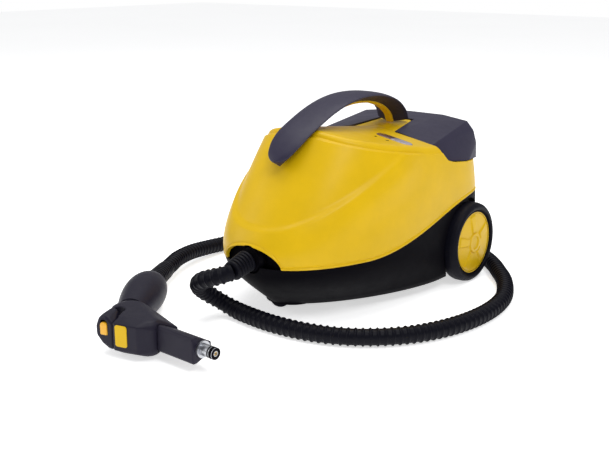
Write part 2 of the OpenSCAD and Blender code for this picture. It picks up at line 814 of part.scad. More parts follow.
module caster_wheel() {
    color("black") place_machine() place_caster() translate([caster_trail, 0, caster_r])
        rotate([90, 0, 0]) difference() {
            translate([0, 0, -6.5]) cylinder(h = 13, r = caster_r);
            cylinder(h = 20, r = caster_axle_r + 0.06, center = true);
            for (s = [-1, 1])
                translate([0, 0, s * 6.5]) difference() {
                    cylinder(h = 3, r = 10, center = true);
                    cylinder(h = 4, r = 4.5, center = true);
                }
        }
}

// Cup in the floor of the lower shell, with the boss that the caster swivels in
module caster_housing() {
    color(black_plastic) place_machine() translate([0, caster_y, ground_clearance]) difference() {
        union() {
            cylinder(h = caster_cup_h, r = caster_cup_r + wall);
            translate([0, 0, caster_cup_h - 1]) cylinder(h = 14, r = 11);
        }
        translate([0, 0, -1]) cylinder(h = caster_cup_h + 1 - wall, r = caster_cup_r);
        cylinder(h = 50, r = caster_stem_r + 0.05);
    }
}

module shell_screws() {
    color(steel) place_machine() for (s = [-1, 1], p = screw_spots)
        translate([s * p[0], p[1], ground_clearance - 2]) {
            cylinder(h = 2, r = 4);
            cylinder(h = 20, r = 2);
        }
}

// ---------- Steam gun ----------
// Local frame: +X along the barrel, +Y towards the grip, Z across the gun's thickness
grip_from = [-79, 58];
grip_to = [-131, 187];
grip_start = 8;              // where the grip leaves the body, along its axis
body_t = 46;
flat_y = -17.4;              // flat face of the body on the side away from the grip
barrel_len = 68;
barrel_at = [1, 18];         // root of the barrel's axis
barrel_turn = -15.5;         // angle of the barrel from the gun's X axis
lever_pivot = [-46.5, -8];
lever_pin_r = 2;
lever_t = 38;
lever_z = 5;
lever_front_y = -14.5;
cheek_x = [-60, -51.2];      // ends of the part of the lever beside the body
recess_x = -50;              // edge of the lever's recess in the body
lever_tab_t = 16;
cavity_t = 24;
spring_at = 6;
spring_r = 4;
lock_t = 16;
lock_w = 10;
lock_at = [-69, 0];          // outer end and bottom of the lock button
lock_travel = 3;
muzzle_flange = 3;
groove_w = 2.4;
nose_ring_w = 6;

module place_gun() {
    translate(gun_at) rotate([0, 0, gun_angle]) children();
}

module along_barrel(at) {
    translate([barrel_at[0], barrel_at[1], 0]) rotate([0, 0, barrel_turn]) translate([at, 0, 0]) children();
}

// Section of the barrel as [across, up]: tall on the near side and slim on the far side
function barrel_section(grow) = [
    [-16 - grow, -13.5], [-13, -16.5 - grow], [-9, -16.5 - grow], [15 + grow, -8 - grow],
    [15 + grow, 5 + grow], [-9, 16.5 + grow], [-13, 16.5 + grow], [-16 - grow, 13.5]
];

module barrel_bar(from, to, grow) {
    along_barrel(from) rotate([90, 0, 90]) linear_extrude(to - from) polygon(barrel_section(grow));
}

grip_axis = grip_to - grip_from;
grip_len = norm(grip_axis);
grip_angle = atan2(grip_axis[1], grip_axis[0]);

// Radius of the egg-shaped grip at share t of its length
function grip_r(t) =
    gun_t / 2 * (0.7 + 0.3 * sin(180 * pow(t, 1.15))) * sqrt(1 - pow(max(t - 0.5, 0) / 0.56, 4));

module along_grip(at) {
    translate([grip_from[0], grip_from[1], 0]) rotate([0, 90, grip_angle]) translate([0, 0, at]) children();
}

module gun_grip() {
    color(charcoal) place_gun() along_grip(grip_start) rotate_extrude() polygon(concat(
        [[5.5, 0]],
        [for (k = [0:12]) [grip_r(k / 12), (grip_len - grip_start) * k / 12]],
        [[5.5, grip_len - grip_start]]
    ));
}

// Upright pin with a narrower top and bottom, the corner of a softened block
module pod(at, r, thickness) {
    translate([at[0], at[1], -thickness / 2]) cylinder(h = thickness, r = r * 0.65);
    translate([at[0], at[1], -thickness / 2 + 7]) cylinder(h = thickness - 14, r = r);
}

module gun_body() {
    color(charcoal) place_gun() difference() {
        hull() {
            pod([-37, 8], 24, body_t);
            pod([-13, 5], 17, body_t);
            pod([-64, 38], 25, body_t);
            translate([-48, flat_y, -16]) cube([34, 20, 34]);
            translate([8, 32, -6]) cylinder(h = 12, r = 3);
        }
        translate([-42, -9, -cavity_t / 2]) cube([34, 35, cavity_t]);
        translate([recess_x - 30, flat_y - 1, -body_t / 2 - 5]) cube([30, 17, body_t + 10]);
        hull() {
            pod([-66, -2], 14.8, body_t + 30);
            pod([-67, 14], 12, body_t + 30);
        }
        barrel_bar(-8, 60, 0.3);
        along_barrel(-18) rotate([0, 90, 0]) cylinder(h = 12, r = jet_r + 0.3);
        along_grip(grip_start - 3) cylinder(h = 80, r = gun_t / 2 - 2);
        translate([-64, -14.5, -lever_tab_t / 2 - 1]) cube([22.5, 13, lever_tab_t + 2]);
        translate([lever_pivot[0], lever_pivot[1], 0])
            cylinder(h = cavity_t, r = lever_pin_r, center = true);
        translate([-60, spring_at, 0]) rotate([0, 90, 0]) cylinder(h = 9, r = spring_r + 0.6);
        for (p = screw_places)
            translate([p[0], p[1], -body_t / 2 - 1]) cylinder(h = 8.5, r = screw_r);
    }
}

module gun_barrel() {
    color(charcoal) place_gun() difference() {
        barrel_bar(-6, barrel_len, 0);
        along_barrel(-10) rotate([0, 90, 0]) cylinder(h = barrel_len - 4, r = 10);
        along_barrel(0) rotate([0, 90, 0]) cylinder(h = barrel_len + 5, r = spigot_r);
    }
}

module gun_spigot() {
    groove_x = muzzle_flange + spigot_len;
    color(alloy) place_gun() along_barrel(barrel_len) rotate([0, 90, 0]) difference() {
        union() {
            translate([0, 0, -14]) cylinder(h = 14, r = spigot_r);
            cylinder(h = muzzle_flange, r = spigot_r + 3);
            translate([0, 0, muzzle_flange]) cylinder(h = spigot_len, r = spigot_r);
            translate([0, 0, groove_x]) cylinder(h = groove_w, r = spigot_r - 1.8);
            translate([0, 0, groove_x + groove_w]) cylinder(h = nose_ring_w, r = spigot_r);
        }
        translate([0, 0, -20]) cylinder(h = 60, r = jet_r);
    }
}

module gun_o_ring() {
    color("black") place_gun() along_barrel(barrel_len + muzzle_flange + spigot_len + groove_w / 2)
        rotate([0, 90, 0]) rotate_extrude() translate([spigot_r - 0.95, 0]) circle(r = 0.85, $fn = 24);
}

jet_r = 2.6;

module gun_jet() {
    color(brass) place_gun() along_barrel(barrel_len + muzzle_flange + spigot_len) rotate([0, 90, 0])
        difference() {
            cylinder(h = 7, r = jet_r);
            translate([0, 0, -1]) cylinder(h = 9, r = 1);
        }
}

module gun_lever() {
    color(charcoal) place_gun() difference() {
        union() {
            translate([0, 0, lever_z]) hull() {
                pod([-67, -3.5], 10, lever_t);
                pod([-69, 10.5], 8, lever_t);
                translate([-75, lever_front_y, -12]) cube([15, 10, 24]);
                translate([cheek_x[0], lever_front_y, -23]) cube([cheek_x[1] - cheek_x[0], 8, 34]);
            }
            translate([-66, -12, -lever_tab_t / 2]) cube([19.5, 8, lever_tab_t]);
            translate([lever_pivot[0], lever_pivot[1], 0]) cylinder(h = lever_tab_t, r = 4, center = true);
        }
        translate([lever_pivot[0], lever_pivot[1], 0])
            cylinder(h = 40, r = lever_pin_r + 0.06, center = true);
        translate([-62.8, spring_at, 0]) rotate([0, 90, 0]) cylinder(h = 12, r = spring_r + 2);
        translate([lock_at[0] - 0.3, -17, lock_at[1] - 0.3])
            cube([lock_w + 0.6, 8.2, lock_t + 0.6 + lock_travel]);
    }
}

module gun_lever_pin() {
    color(steel) place_gun() translate([lever_pivot[0], lever_pivot[1], 0])
        cylinder(h = cavity_t, r = lever_pin_r, center = true);
}

module gun_lever_spring() {
    color(steel) place_gun() translate([-60.5, spring_at, 0]) rotate([0, 90, 0]) difference() {
        cylinder(h = 9.4, r = spring_r);
        translate([0, 0, -1]) cylinder(h = 12, r = spring_r - 1);
    }
}

module gun_lock_button() {
    color([0.95, 0.6, 0.1]) place_gun()
        translate([lock_at[0], lever_front_y - 1.4, lock_at[1]]) cube([lock_w, 7, lock_t]);
}

module gun_panel() {
    color(yellow) place_gun() translate([-45, flat_y - 1.2, -10]) cube([17, 1.2, 27]);
}

module gun_valve() {
    color(brass) place_gun() translate([-40, 7, -9]) cube([26, 18, 18]);
}

module gun_steam_tube() {
    color(steel) place_gun() along_barrel(-15) rotate([0, 90, 0]) cylinder(h = barrel_len + 13, r = jet_r);
}

module gun_switch() {
    color("black") place_gun() translate([-38, 0, -5]) cube([20, 5, 10]);
}

screw_r = 2;
screw_places = [[-24, 22], [-44, 46]];

module gun_screws() {
    color(steel) place_gun() for (p = screw_places)
        translate([p[0], p[1], -body_t / 2 - 0.5]) cylinder(h = 8, r = screw_r);
}

upper_shell();
lower_shell();
hose_socket_plate();
hose_collar();
front_sleeve();
steam_hose();
gun_sleeve();
handle_cover();
handle_core();
rear_lid();
lid_hinge_pin();
lid_brackets();
accessory_tray();
filler_neck();
filler_cap();
cap_plug();
cap_seal();
boiler_top();
boiler_bottom();
boiler_gasket();
boiler_bolts();
boiler_legs();
heating_element();
safety_thermostat();
pressure_switch();
solenoid_valve();
steam_pipe();
power_lens();
ready_lens();
lamp_holder();
terminal_block();
mains_gland();
rear_axle();
left_wheel_hub();
left_tyre();
left_hubcap();
right_wheel_hub();
right_tyre();
right_hubcap();
caster_fork();
caster_axle();
caster_wheel();
caster_housing();
shell_screws();
gun_grip();
gun_body();
gun_barrel();
gun_spigot();
gun_o_ring();
gun_jet();
gun_lever();
gun_lever_pin();
gun_lever_spring();
gun_lock_button();
gun_panel();
gun_valve();
gun_steam_tube();
gun_switch();
gun_screws();
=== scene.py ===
"""Canister steam cleaner with a steam gun: the finished looks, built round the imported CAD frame."""
import json
import math

import bmesh
import bpy
import numpy as np
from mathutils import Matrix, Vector


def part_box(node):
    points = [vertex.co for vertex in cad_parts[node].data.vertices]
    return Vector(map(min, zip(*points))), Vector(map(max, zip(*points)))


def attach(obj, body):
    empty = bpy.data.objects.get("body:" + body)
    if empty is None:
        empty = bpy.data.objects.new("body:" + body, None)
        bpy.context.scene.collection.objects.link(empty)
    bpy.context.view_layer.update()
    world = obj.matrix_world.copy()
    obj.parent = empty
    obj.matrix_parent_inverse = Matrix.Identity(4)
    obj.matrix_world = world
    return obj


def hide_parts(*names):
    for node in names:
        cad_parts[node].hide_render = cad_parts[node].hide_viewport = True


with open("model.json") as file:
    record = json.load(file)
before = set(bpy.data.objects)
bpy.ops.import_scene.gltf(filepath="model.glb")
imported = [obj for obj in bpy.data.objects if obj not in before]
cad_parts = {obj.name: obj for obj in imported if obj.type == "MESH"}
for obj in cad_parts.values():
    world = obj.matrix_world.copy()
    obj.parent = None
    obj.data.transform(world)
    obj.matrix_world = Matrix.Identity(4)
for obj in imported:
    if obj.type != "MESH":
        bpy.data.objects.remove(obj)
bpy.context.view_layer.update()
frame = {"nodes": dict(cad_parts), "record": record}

MM = 0.001

# ---------- Shared frame ----------
# The CAD's own origins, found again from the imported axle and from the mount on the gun's spigot.
AXLE_Y, AXLE_Z = 108.0, 59.5
axle_low, axle_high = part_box("rear_axle")
axle_mid = (np.array(axle_low) + np.array(axle_high)) / 2 / MM
machine_at = np.array([axle_mid[0], axle_mid[1] - AXLE_Y, 0.0])

spigot = next(m for m in frame["record"]["mounts"] if m["name"] == "steam_spigot")
MOUNT_ALONG_BARREL = 77.0
BARREL_ROOT, BARREL_TURN = (1.0, 18.0), math.radians(-15.5)
barrel_x = np.array(spigot["axis"])
gun_x = np.array([barrel_x[0] * math.cos(BARREL_TURN) + barrel_x[1] * math.sin(BARREL_TURN),
                  barrel_x[1] * math.cos(BARREL_TURN) - barrel_x[0] * math.sin(BARREL_TURN), 0.0])
gun_y = np.array([-gun_x[1], gun_x[0], 0.0])
gun_at = (np.array(spigot["pos_m"]) / MM - MOUNT_ALONG_BARREL * barrel_x
          - BARREL_ROOT[0] * gun_x - BARREL_ROOT[1] * gun_y)


def on_machine(points):
    """Machine millimetres to metres in the shared frame."""
    return (np.asarray(points, float) + machine_at) * MM


def on_gun(points):
    """Gun millimetres (along its flat face, towards the grip, up) to metres in the shared frame."""
    p = np.asarray(points, float)
    return (gun_at + p[..., 0:1] * gun_x + p[..., 1:2] * gun_y + p[..., 2:3] * np.array([0, 0, 1.0])) * MM


def on_barrel(points):
    """Barrel millimetres (along, across, up) to metres in the shared frame."""
    p = np.asarray(points, float)
    c, s = math.cos(BARREL_TURN), math.sin(BARREL_TURN)
    return on_gun(np.stack([BARREL_ROOT[0] + p[..., 0] * c - p[..., 1] * s,
                            BARREL_ROOT[1] + p[..., 0] * s + p[..., 1] * c, p[..., 2]], axis=-1))


# ---------- Camera ----------
def add_camera():
    data = bpy.data.cameras.new("camera")
    data.sensor_width = 36
    data.lens = 59.11
    data.clip_end = 50
    camera = bpy.data.objects.new("camera", data)
    camera.location = on_machine([834, -1169, 468])
    camera.rotation_euler = (math.radians(90 - 15.11), 0, math.radians(38.5))
    bpy.context.scene.collection.objects.link(camera)
    bpy.context.scene.camera = camera


add_camera()


# ---------- Mesh helpers ----------
def make(name, points, faces, sharp=40):
    """A mesh object from points in metres; edges steeper than the sharp angle stay crisp."""
    mesh = bpy.data.meshes.new(name)
    corners = np.asarray(points, float).reshape(-1, 3).tolist()
    mesh.from_pydata(corners, [], [list(map(int, f)) for f in faces])
    obj = bpy.data.objects.new(name, mesh)
    bpy.context.scene.collection.objects.link(obj)
    tidy(obj, sharp)
    return obj


def tidy(obj, sharp=40):
    """Merges doubled points, turns the faces outwards and shades them smooth."""
    bm = bmesh.new()
    bm.from_mesh(obj.data)
    bmesh.ops.remove_doubles(bm, verts=bm.verts, dist=2e-6)
    bmesh.ops.recalc_face_normals(bm, faces=bm.faces)
    bm.to_mesh(obj.data)
    bm.free()
    obj.data.shade_smooth()
    obj.data.set_sharp_from_angle(angle=math.radians(sharp))


def apply(obj, sharp=40):
    """Makes the object's modifiers part of its mesh."""
    graph = bpy.context.evaluated_depsgraph_get()
    mesh = bpy.data.meshes.new_from_object(obj.evaluated_get(graph))
    obj.modifiers.clear()
    obj.data = mesh
    tidy(obj, sharp)
    return obj


def combine(obj, cutters, how="DIFFERENCE", sharp=40):
    """Cuts the cutters from the object, or keeps or adds what they share, and removes them."""
    for cutter in cutters:
        mod = obj.modifiers.new("cut", "BOOLEAN")
        mod.operation = how
        mod.solver = "EXACT"
        mod.object = cutter
    apply(obj, sharp)
    for cutter in cutters:
        bpy.data.objects.remove(cutter)
    return obj


def bevel(obj, width, segments=3, angle=30, sharp=40):
    mod = obj.modifiers.new("bevel", "BEVEL")
    mod.width = width * MM
    mod.segments = segments
    mod.limit_method = "ANGLE"
    mod.angle_limit = math.radians(angle)
    return apply(obj, sharp)


def soften(obj, voxel, passes, sharp=60):
    """Rebuilds the surface as one even skin and relaxes it, so that every edge is rounded."""
    mod = obj.modifiers.new("skin", "REMESH")
    mod.mode = "VOXEL"
    mod.voxel_size = voxel * MM
    mod = obj.modifiers.new("relax", "SMOOTH")
    mod.factor = 0.5
    mod.iterations = passes
    return apply(obj, sharp)


def quads(rings, around):
    """Faces between rings of points that follow each other."""
    faces = []
    for low in range(0, (rings - 1) * around, around):
        high = low + around
        for i in range(around):
            j = (i + 1) % around
            faces.append((low + i, low + j, high + j, high + i))
    return faces


def loft(name, rings, place=on_machine, sharp=40):
    """A closed solid through rings of equal length, with a flat end at each side."""
    rings = np.asarray(rings, float)
    m, n = rings.shape[:2]
    faces = quads(m, n) + [list(range(n))[::-1], [(m - 1) * n + i for i in range(n)]]
    return make(name, place(rings.reshape(-1, 3)), faces, sharp)


def fillet(points, radius, steps=4):
    """The closed outline with its corners rounded, less where an edge is short."""
    out = []
    for i, point in enumerate(points):
        corner = Vector(point)
        a, b = Vector(points[i - 1]) - corner, Vector(points[(i + 1) % len(points)]) - corner
        reach = min(radius / math.tan(max(a.angle(b), 0.02) / 2), 0.48 * a.length, 0.48 * b.length)
        start, end = corner + a.normalized() * reach, corner + b.normalized() * reach
        for k in range(steps + 1):
            u = k / steps
            out.append(tuple(start * (1 - u) ** 2 + corner * 2 * u * (1 - u) + end * u ** 2))
    return out


def lathe(name, outline, at, axis, place=on_machine, steps=96, sharp=35, stretch=(1, 1)):
    """Turns a closed outline of (radius, distance along the axis) about an axis through a point."""
    axis = Vector(axis).normalized()
    upright = abs(axis.z) > 0.99
    side = axis.orthogonal().normalized() if upright else Vector((0, 0, 1)).cross(axis).normalized()
    up = axis.cross(side)
    outline = np.asarray(outline, float)
    turn = np.linspace(0, 2 * math.pi, steps, endpoint=False)
    ring = (stretch[0] * np.cos(turn)[:, None] * np.array(side)
            + stretch[1] * np.sin(turn)[:, None] * np.array(up))
    points = (np.array(at, float) + outline[:, None, 0:1] * ring[None]
              + outline[:, None, 1:2] * np.array(axis))
    count = len(outline)
    faces = quads(count, steps) + [((count - 1) * steps + i, (count - 1) * steps + (i + 1) % steps,
                                    (i + 1) % steps, i) for i in range(steps)]
    return make(name, place(points.reshape(-1, 3)), faces, sharp)


def prism(name, outline, low, high, place=on_machine, axis="z", sharp=40):
    """An outline pushed from low to high along an axis."""
    order = {"x": lambda p, h: (h, p[0], p[1]), "y": lambda p, h: (p[0], h, p[1]),
             "z": lambda p, h: (p[0], p[1], h)}
    return loft(name, [[order[axis](p, h) for p in outline] for h in (low, high)], place, sharp)


def hull(name, points, place=on_machine, sharp=40):
    """The tightest convex solid round the points."""
    bm = bmesh.new()
    for p in place(np.asarray(points, float)):
        bm.verts.new(p)
    found = bmesh.ops.convex_hull(bm, input=bm.verts)
    loose = [v for v in found["geom_interior"] + found["geom_unused"] if isinstance(v, bmesh.types.BMVert)]
    bmesh.ops.delete(bm, geom=list(set(loose)), context="VERTS")
    bmesh.ops.dissolve_limit(bm, angle_limit=math.radians(0.5), verts=bm.verts, edges=bm.edges)
    mesh = bpy.data.meshes.new(name)
    bm.to_mesh(mesh)
    bm.free()
    obj = bpy.data.objects.new(name, mesh)
    bpy.context.scene.collection.objects.link(obj)
    tidy(obj, sharp)
    return obj


def circle(centre, radius, count):
    return [(centre[0] + radius * math.cos(2 * math.pi * k / count),
             centre[1] + radius * math.sin(2 * math.pi * k / count)) for k in range(count)]


def spline(points, per_span):
    """A smooth curve through the points, per_span points for each stretch between two of them."""
    p = np.asarray(points, float)
    p = np.vstack([2 * p[0] - p[1], p, 2 * p[-1] - p[-2]])
    t = np.linspace(0, 1, per_span, endpoint=False)[:, None]
    out = []
    for a, b, c, d in zip(p, p[1:], p[2:], p[3:]):
        out.append((2 * b + (c - a) * t + (2 * a - 5 * b + 4 * c - d) * t ** 2
                    + (3 * b - a - 3 * c + d) * t ** 3) / 2)
    return np.vstack(out + [p[-2:-1]])


def walk(path, spacing):
    """The path again with even spacing, and its length."""
    along = np.concatenate([[0], np.cumsum(np.linalg.norm(np.diff(path, axis=0), axis=1))])
    count = int(round(along[-1] / spacing))
    at = np.linspace(0, along[-1], count + 1)
    return np.stack([np.interp(at, along, path[:, k]) for k in range(3)], axis=1), along[-1]


def tube(name, path, radii, sides=24, sharp=60):
    """A round tube along the path, its radius given for each point."""
    heading = np.gradient(path, axis=0)
    heading /= np.linalg.norm(heading, axis=1)[:, None]
    side = np.cross(heading, [0, 0, 1.0])
    side /= np.linalg.norm(side, axis=1)[:, None]
    up = np.cross(side, heading)
    turn = np.linspace(0, 2 * math.pi, sides, endpoint=False)
    ring = np.cos(turn)[None, :, None] * side[:, None] + np.sin(turn)[None, :, None] * up[:, None]
    return loft(name, path[:, None] + np.asarray(radii)[:, None, None] * ring, sharp=sharp)


# ---------- Steam hose ----------
HOSE_D = 24.0
HOSE_PITCH = 9.2
HOSE_RIDGE = 1.6
RIDGE_STANDS_OUT = 0.15
RIDGE_SHARE = 0.15
POINTS_PER_RIDGE = 12
HOSE_ROUTE = [
    (0, -270, 80), (-5, -278, 77), (-19, -285, 72), (-38, -286, 64), (-55, -275, 51),
    (-60, -257, 36), (-50, -241, 22), (-29, -235, 13), (-4, -239, 12), (46, -244, 12),
    (100, -239, 12), (146, -222, 12), (184, -193, 12), (212, -156, 12), (231, -110, 12),
    (240, -62, 12), (240, -14, 12), (231, 32, 12), (214, 71, 12), (192, 108, 12),
    (168, 138, 12), (146, 164, 12), (118, 190, 12), (80, 212, 12), (30, 228, 12),
    (-40, 236, 12), (-112, 222, 12), (-176, 182, 12), (-222, 126, 12), (-248, 62, 12),
    (-259, 0, 12), (-257, -56, 16), (-246, -100, 21), (-230, -142, 24), (-212, -173, 26),
    (-196, -201, 27)]


def add_hose():
    path, length = walk(spline(HOSE_ROUTE, 16), HOSE_PITCH / POINTS_PER_RIDGE)
    along = np.linspace(0, length, len(path))
    phase = (along / HOSE_PITCH) % 1.0
    ridge = np.exp(-(np.abs(phase - 0.5) / RIDGE_SHARE) ** 3)
    hose = tube("hose_tube", path, HOSE_D / 2 + RIDGE_STANDS_OUT - HOSE_RIDGE * (1 - ridge))
    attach(hose, "machine")
    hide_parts("steam_hose")
    return {"hose_rubber": [hose]}


pieces = {}


def collect(new):
    for slot_name, objs in new.items():
        pieces.setdefault(slot_name, []).extend(objs)


collect(add_hose())


# ---------- Body surface, as in the CAD ----------
NOSE_REACH, TAIL_REACH, HALF_W, DECK_H = 279.0, 136.0, 129.0, 232.7
WIDEST_Y, RIM_R, WALL, CLEARANCE = 40.0, 9.0, 3.0, 13.5
ARCH_HALF_W, ARCH_RISE = 47.0, 26.0
DECK_MIDDLE = 20.0
SECTION_Z = 95.0
BAND_DEPTH = 4.2
COLLAR_R, COLLAR_Z = 19.6, 88.0
CUP_AT, CUP_R = (0, -148), 36.0
WELL_R, WELL_X = 65.5, 110.0


def ease(t):
    t = np.clip(t, 0, 1)
    return t * t * (3 - 2 * t)


def nose_back(z):
    low = 57 * (np.clip(88 - z, 0, None) / 75) ** 1.7
    high = 118 * (np.sqrt(((z - 88) / 154) ** 2 + 0.02) - math.sqrt(0.02))
    return np.where(z < 88, low, high)


def section(phi, z):
    """Point of the body's outline at a height: phi 0 is the nose and pi the tail."""
    s, c = np.sin(phi), np.cos(phi)
    front = c > 0
    n = np.where(front, 1.55 + 0.85 * ease((z - 13) / 60), 4.6)
    reach = np.where(front, NOSE_REACH - nose_back(z), TAIL_REACH - 14 * (np.abs(z - 110) / 125) ** 2)
    half = HALF_W - 9 * (np.abs(z - 105) / 95) ** 2 * np.where(z > 105, 1, 0.4)
    x = half * np.sign(s) * np.abs(s) ** (2 / n)
    return x, WIDEST_Y - reach * np.sign(c) * np.abs(c) ** (2 / n)


def wall_points(phi, z, inset):
    """Points on the wall, moved inwards along its level normal."""
    x, y = section(phi, z)
    ax, ay = section(phi + 0.009, z)
    bx, by = section(phi - 0.009, z)
    dx, dy = ax - bx, ay - by
    size = np.hypot(dx, dy)
    return np.stack([x - inset * dy / size, y + inset * dx / size, z + 0 * x], axis=-1)


def deck_z(x, y):
    return DECK_H - 0.12 * np.minimum(y, 60) - 0.2 * (np.sqrt(x * x + 900) - 30)


def part_z(y):
    return 80 + 52 * ease((y + 130) / 280)


def rim_z(phi):
    z = np.full_like(phi, 220.0)
    for _ in range(5):
        z = deck_z(*section(phi, z))
    return z


def sweep_angles(count=264, fine=40):
    """Angles round the body, closer together where the hose arch starts."""
    ends = math.radians(17.4)
    near = [np.linspace(s * ends - 0.05, s * ends + 0.05, fine) for s in (-1, 1)]
    even = np.linspace(-math.pi, math.pi, count, endpoint=False)
    far = even[np.min([np.abs(even - s * ends) for s in (-1, 1)], axis=0) > 0.052]
    return np.sort(np.concatenate(near + [far]))


def band_out(points):
    """How far the style band stands out: a ramp between two rising lines on each flank."""
    y, z = points[..., 1], points[..., 2]
    top = 131 + 0.51 * (y + 218)
    foot = 120 + 0.42 * (y + 226)
    ramp = np.clip(2.2 * (top - z) / (top - foot), 0, 1)
    ramp = ramp * ramp * (3 - 2 * ramp)
    fade = ease((z - foot + 46) / 46) * (1 - ease((y + 60) / 70)) * ease((y + 262) / 30)
    return BAND_DEPTH * ramp * np.where(z < foot, fade, np.minimum(fade, 1))


def bead_out(height):
    """A lip along the lower edge of the upper shell, with a fine groove above it."""
    lip = 0.8 * np.exp(-((height - 1.2) / 1.3) ** 4)
    return lip - 0.5 * np.exp(-((height - 3.9) / 0.9) ** 2)


def upper_rings(inset):
    phi = sweep_angles()
    x, y = section(phi, np.full_like(phi, SECTION_Z))
    arch = np.where((y < 0) & (np.abs(x) < ARCH_HALF_W),
                    ARCH_RISE * np.sqrt(np.clip(1 - (x / ARCH_HALF_W) ** 2, 0, 1)), 0)
    low, rim = part_z(y) + arch, rim_z(phi)
    top = rim - RIM_R
    first = np.array([0, 0.5, 1.2, 1.9, 2.5, 3.1, 3.9, 4.7, 5.6])
    rest = np.linspace(0, 1, 60)[1:]
    rings = [wall_points(phi, low + h, inset) for h in first]
    rings += [wall_points(phi, low + first[-1] + (top - low - first[-1]) * f, inset) for f in rest]
    rings = np.array(rings)
    if inset == 0:
        out = band_out(rings)
        out[: len(first)] += bead_out(first)[:, None]
        normal = np.array([wall_points(phi, r[:, 2], -1.0) - wall_points(phi, r[:, 2], 0.0) for r in rings])
        rings = rings + normal * out[..., None]
    curve = []
    for a in np.radians([12, 24, 36, 48, 60, 72, 84, 90]):
        edge = wall_points(phi, rim, RIM_R * (1 - math.cos(a)) + inset * math.cos(a))
        height = top + (deck_z(edge[:, 0], edge[:, 1]) - top) * math.sin(a) - inset * math.sin(a)
        curve.append(np.stack([edge[:, 0], edge[:, 1], height], axis=-1))
    last = curve[-1]
    for s in np.linspace(1, 0, 26)[1:]:
        px, py = last[:, 0] * s, DECK_MIDDLE + (last[:, 1] - DECK_MIDDLE) * s
        curve.append(np.stack([px, py, deck_z(px, py) - inset], axis=-1))
    return np.concatenate([rings, np.array(curve)])


def lower_rings(inset):
    phi = sweep_angles()
    _, y = section(phi, np.full_like(phi, SECTION_Z))
    high = part_z(y) - 0.4
    rings = [wall_points(phi, high + (CLEARANCE + 8 - high) * f, inset + 0.3 * math.exp(-f * 40))
             for f in np.linspace(0, 1, 40)]
    foot = wall_points(phi, np.full_like(phi, CLEARANCE + 4), inset + 3)
    for s, lift in ((1.0, 1.6), (0.985, 0.5), (0.96, 0.0), (0.8, 0), (0.6, 0), (0.4, 0), (0.2, 0), (0, 0)):
        rings.append(np.stack([foot[:, 0] * s, DECK_MIDDLE + (foot[:, 1] - DECK_MIDDLE) * s,
                               np.full_like(phi, CLEARANCE + inset + lift)], axis=-1))
    return np.array(rings)


def skin(name, outer, inner):
    """A thin closed wall between an outer and an inner stack of rings that end in one point each."""
    m, n = outer.shape[:2]
    points = np.concatenate([outer.reshape(-1, 3), inner.reshape(-1, 3)])
    faces = quads(m, n) + [tuple(m * n + v for v in f[::-1]) for f in quads(m, n)]
    faces += [(i, (i + 1) % n, m * n + (i + 1) % n, m * n + i) for i in range(n)]
    return make(name, on_machine(points), faces)


# ---------- Lid outline, shared with the shell's opening ----------
LID_SIDE = [(38, 300), (38, 211), (46, 199), (56, 189), (74, 184), (112, 179), (190, 175), (190, 300)]
NOTCH = [(-42, -10), (42, -10), (42, 30), (26, 112), (-26, 112), (-42, 30)]


def lid_space(grow):
    """The space that the lid takes: its side outline across the body, less the spine in the middle."""
    smooth = fillet([(y + grow, z + grow) for y, z in LID_SIDE], 14, 6)
    space = prism("lid_space", smooth, -160, 160, axis="x")
    notch = [(x + math.copysign(grow, x), y + (grow if y > 100 else 0)) for x, y in NOTCH]
    spine = fillet(notch, 2.5, 4)
    return combine(space, [prism("spine", spine, 150, 320)])


LENS_AT, LENS_R, LENS_SPAN = (74.0, -12.0), 11.0, 36.0


def on_deck(points):
    """Points given across and above the lamp window, placed on the sloping deck."""
    lx, ly = LENS_AT
    tilt, roll = math.atan(0.12), math.atan(0.2 * lx / math.hypot(lx, 30))
    p = np.asarray(points, float)
    x, y, z = p[..., 0], p[..., 1], p[..., 2]
    x, z = x * math.cos(roll) + z * math.sin(roll), z * math.cos(roll) - x * math.sin(roll)
    y, z = y * math.cos(tilt) + z * math.sin(tilt), z * math.cos(tilt) - y * math.sin(tilt)
    return on_machine(np.stack([lx + x, ly + y, float(deck_z(np.float64(lx), np.float64(ly))) + z], axis=-1))


def capsule(radius, span, count=20):
    """Outline with two round ends."""
    out = []
    for k in range(2 * count):
        a = -math.pi / 2 + math.pi * (k % count) / (count - 1)
        side = 1 if k < count else -1
        out.append((side * (span / 2 + radius * math.cos(a)), side * radius * math.sin(a)))
    return out


def add_shells():
    upper = skin("upper_shell_skin", upper_rings(0), upper_rings(WALL))
    combine(upper, [lid_space(0), collar_hole(),
                    prism("window_hole", capsule(LENS_R + 0.3, LENS_SPAN), -12, 12, on_deck)], sharp=32)
    lower = skin("lower_shell_skin", lower_rings(0), lower_rings(WALL))
    wells = [cylinder_x("well", WELL_R, s * (WELL_X + 60), s * WELL_X) for s in (-1, 1)]
    combine(lower, wells + [collar_hole(),
                            prism("cup_hole", circle(CUP_AT, CUP_R, 64), 5, 22)], sharp=32)
    liners = [well_liner(s) for s in (-1, 1)]
    for piece, node in ((upper, "upper_shell"), (lower, "lower_shell")):
        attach(piece, "machine")
        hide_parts(node)
    for liner in liners:
        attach(liner, "machine")
    return {"yellow_shell": [upper], "black_plastic": [lower] + liners}


def rod(radius, start, end):
    """Outline of a plain rod, for a lathe."""
    return [(0.01, start), (radius, start), (radius, end), (0.01, end)]


def cylinder_x(name, radius, start, end, at=(AXLE_Y, AXLE_Z)):
    return lathe(name, rod(radius, start, end), (0, at[0], at[1]), (1, 0, 0))


def collar_hole():
    return lathe("collar_hole", rod(COLLAR_R, -280, -200), (0, 0, COLLAR_Z), (0, 1, 0))


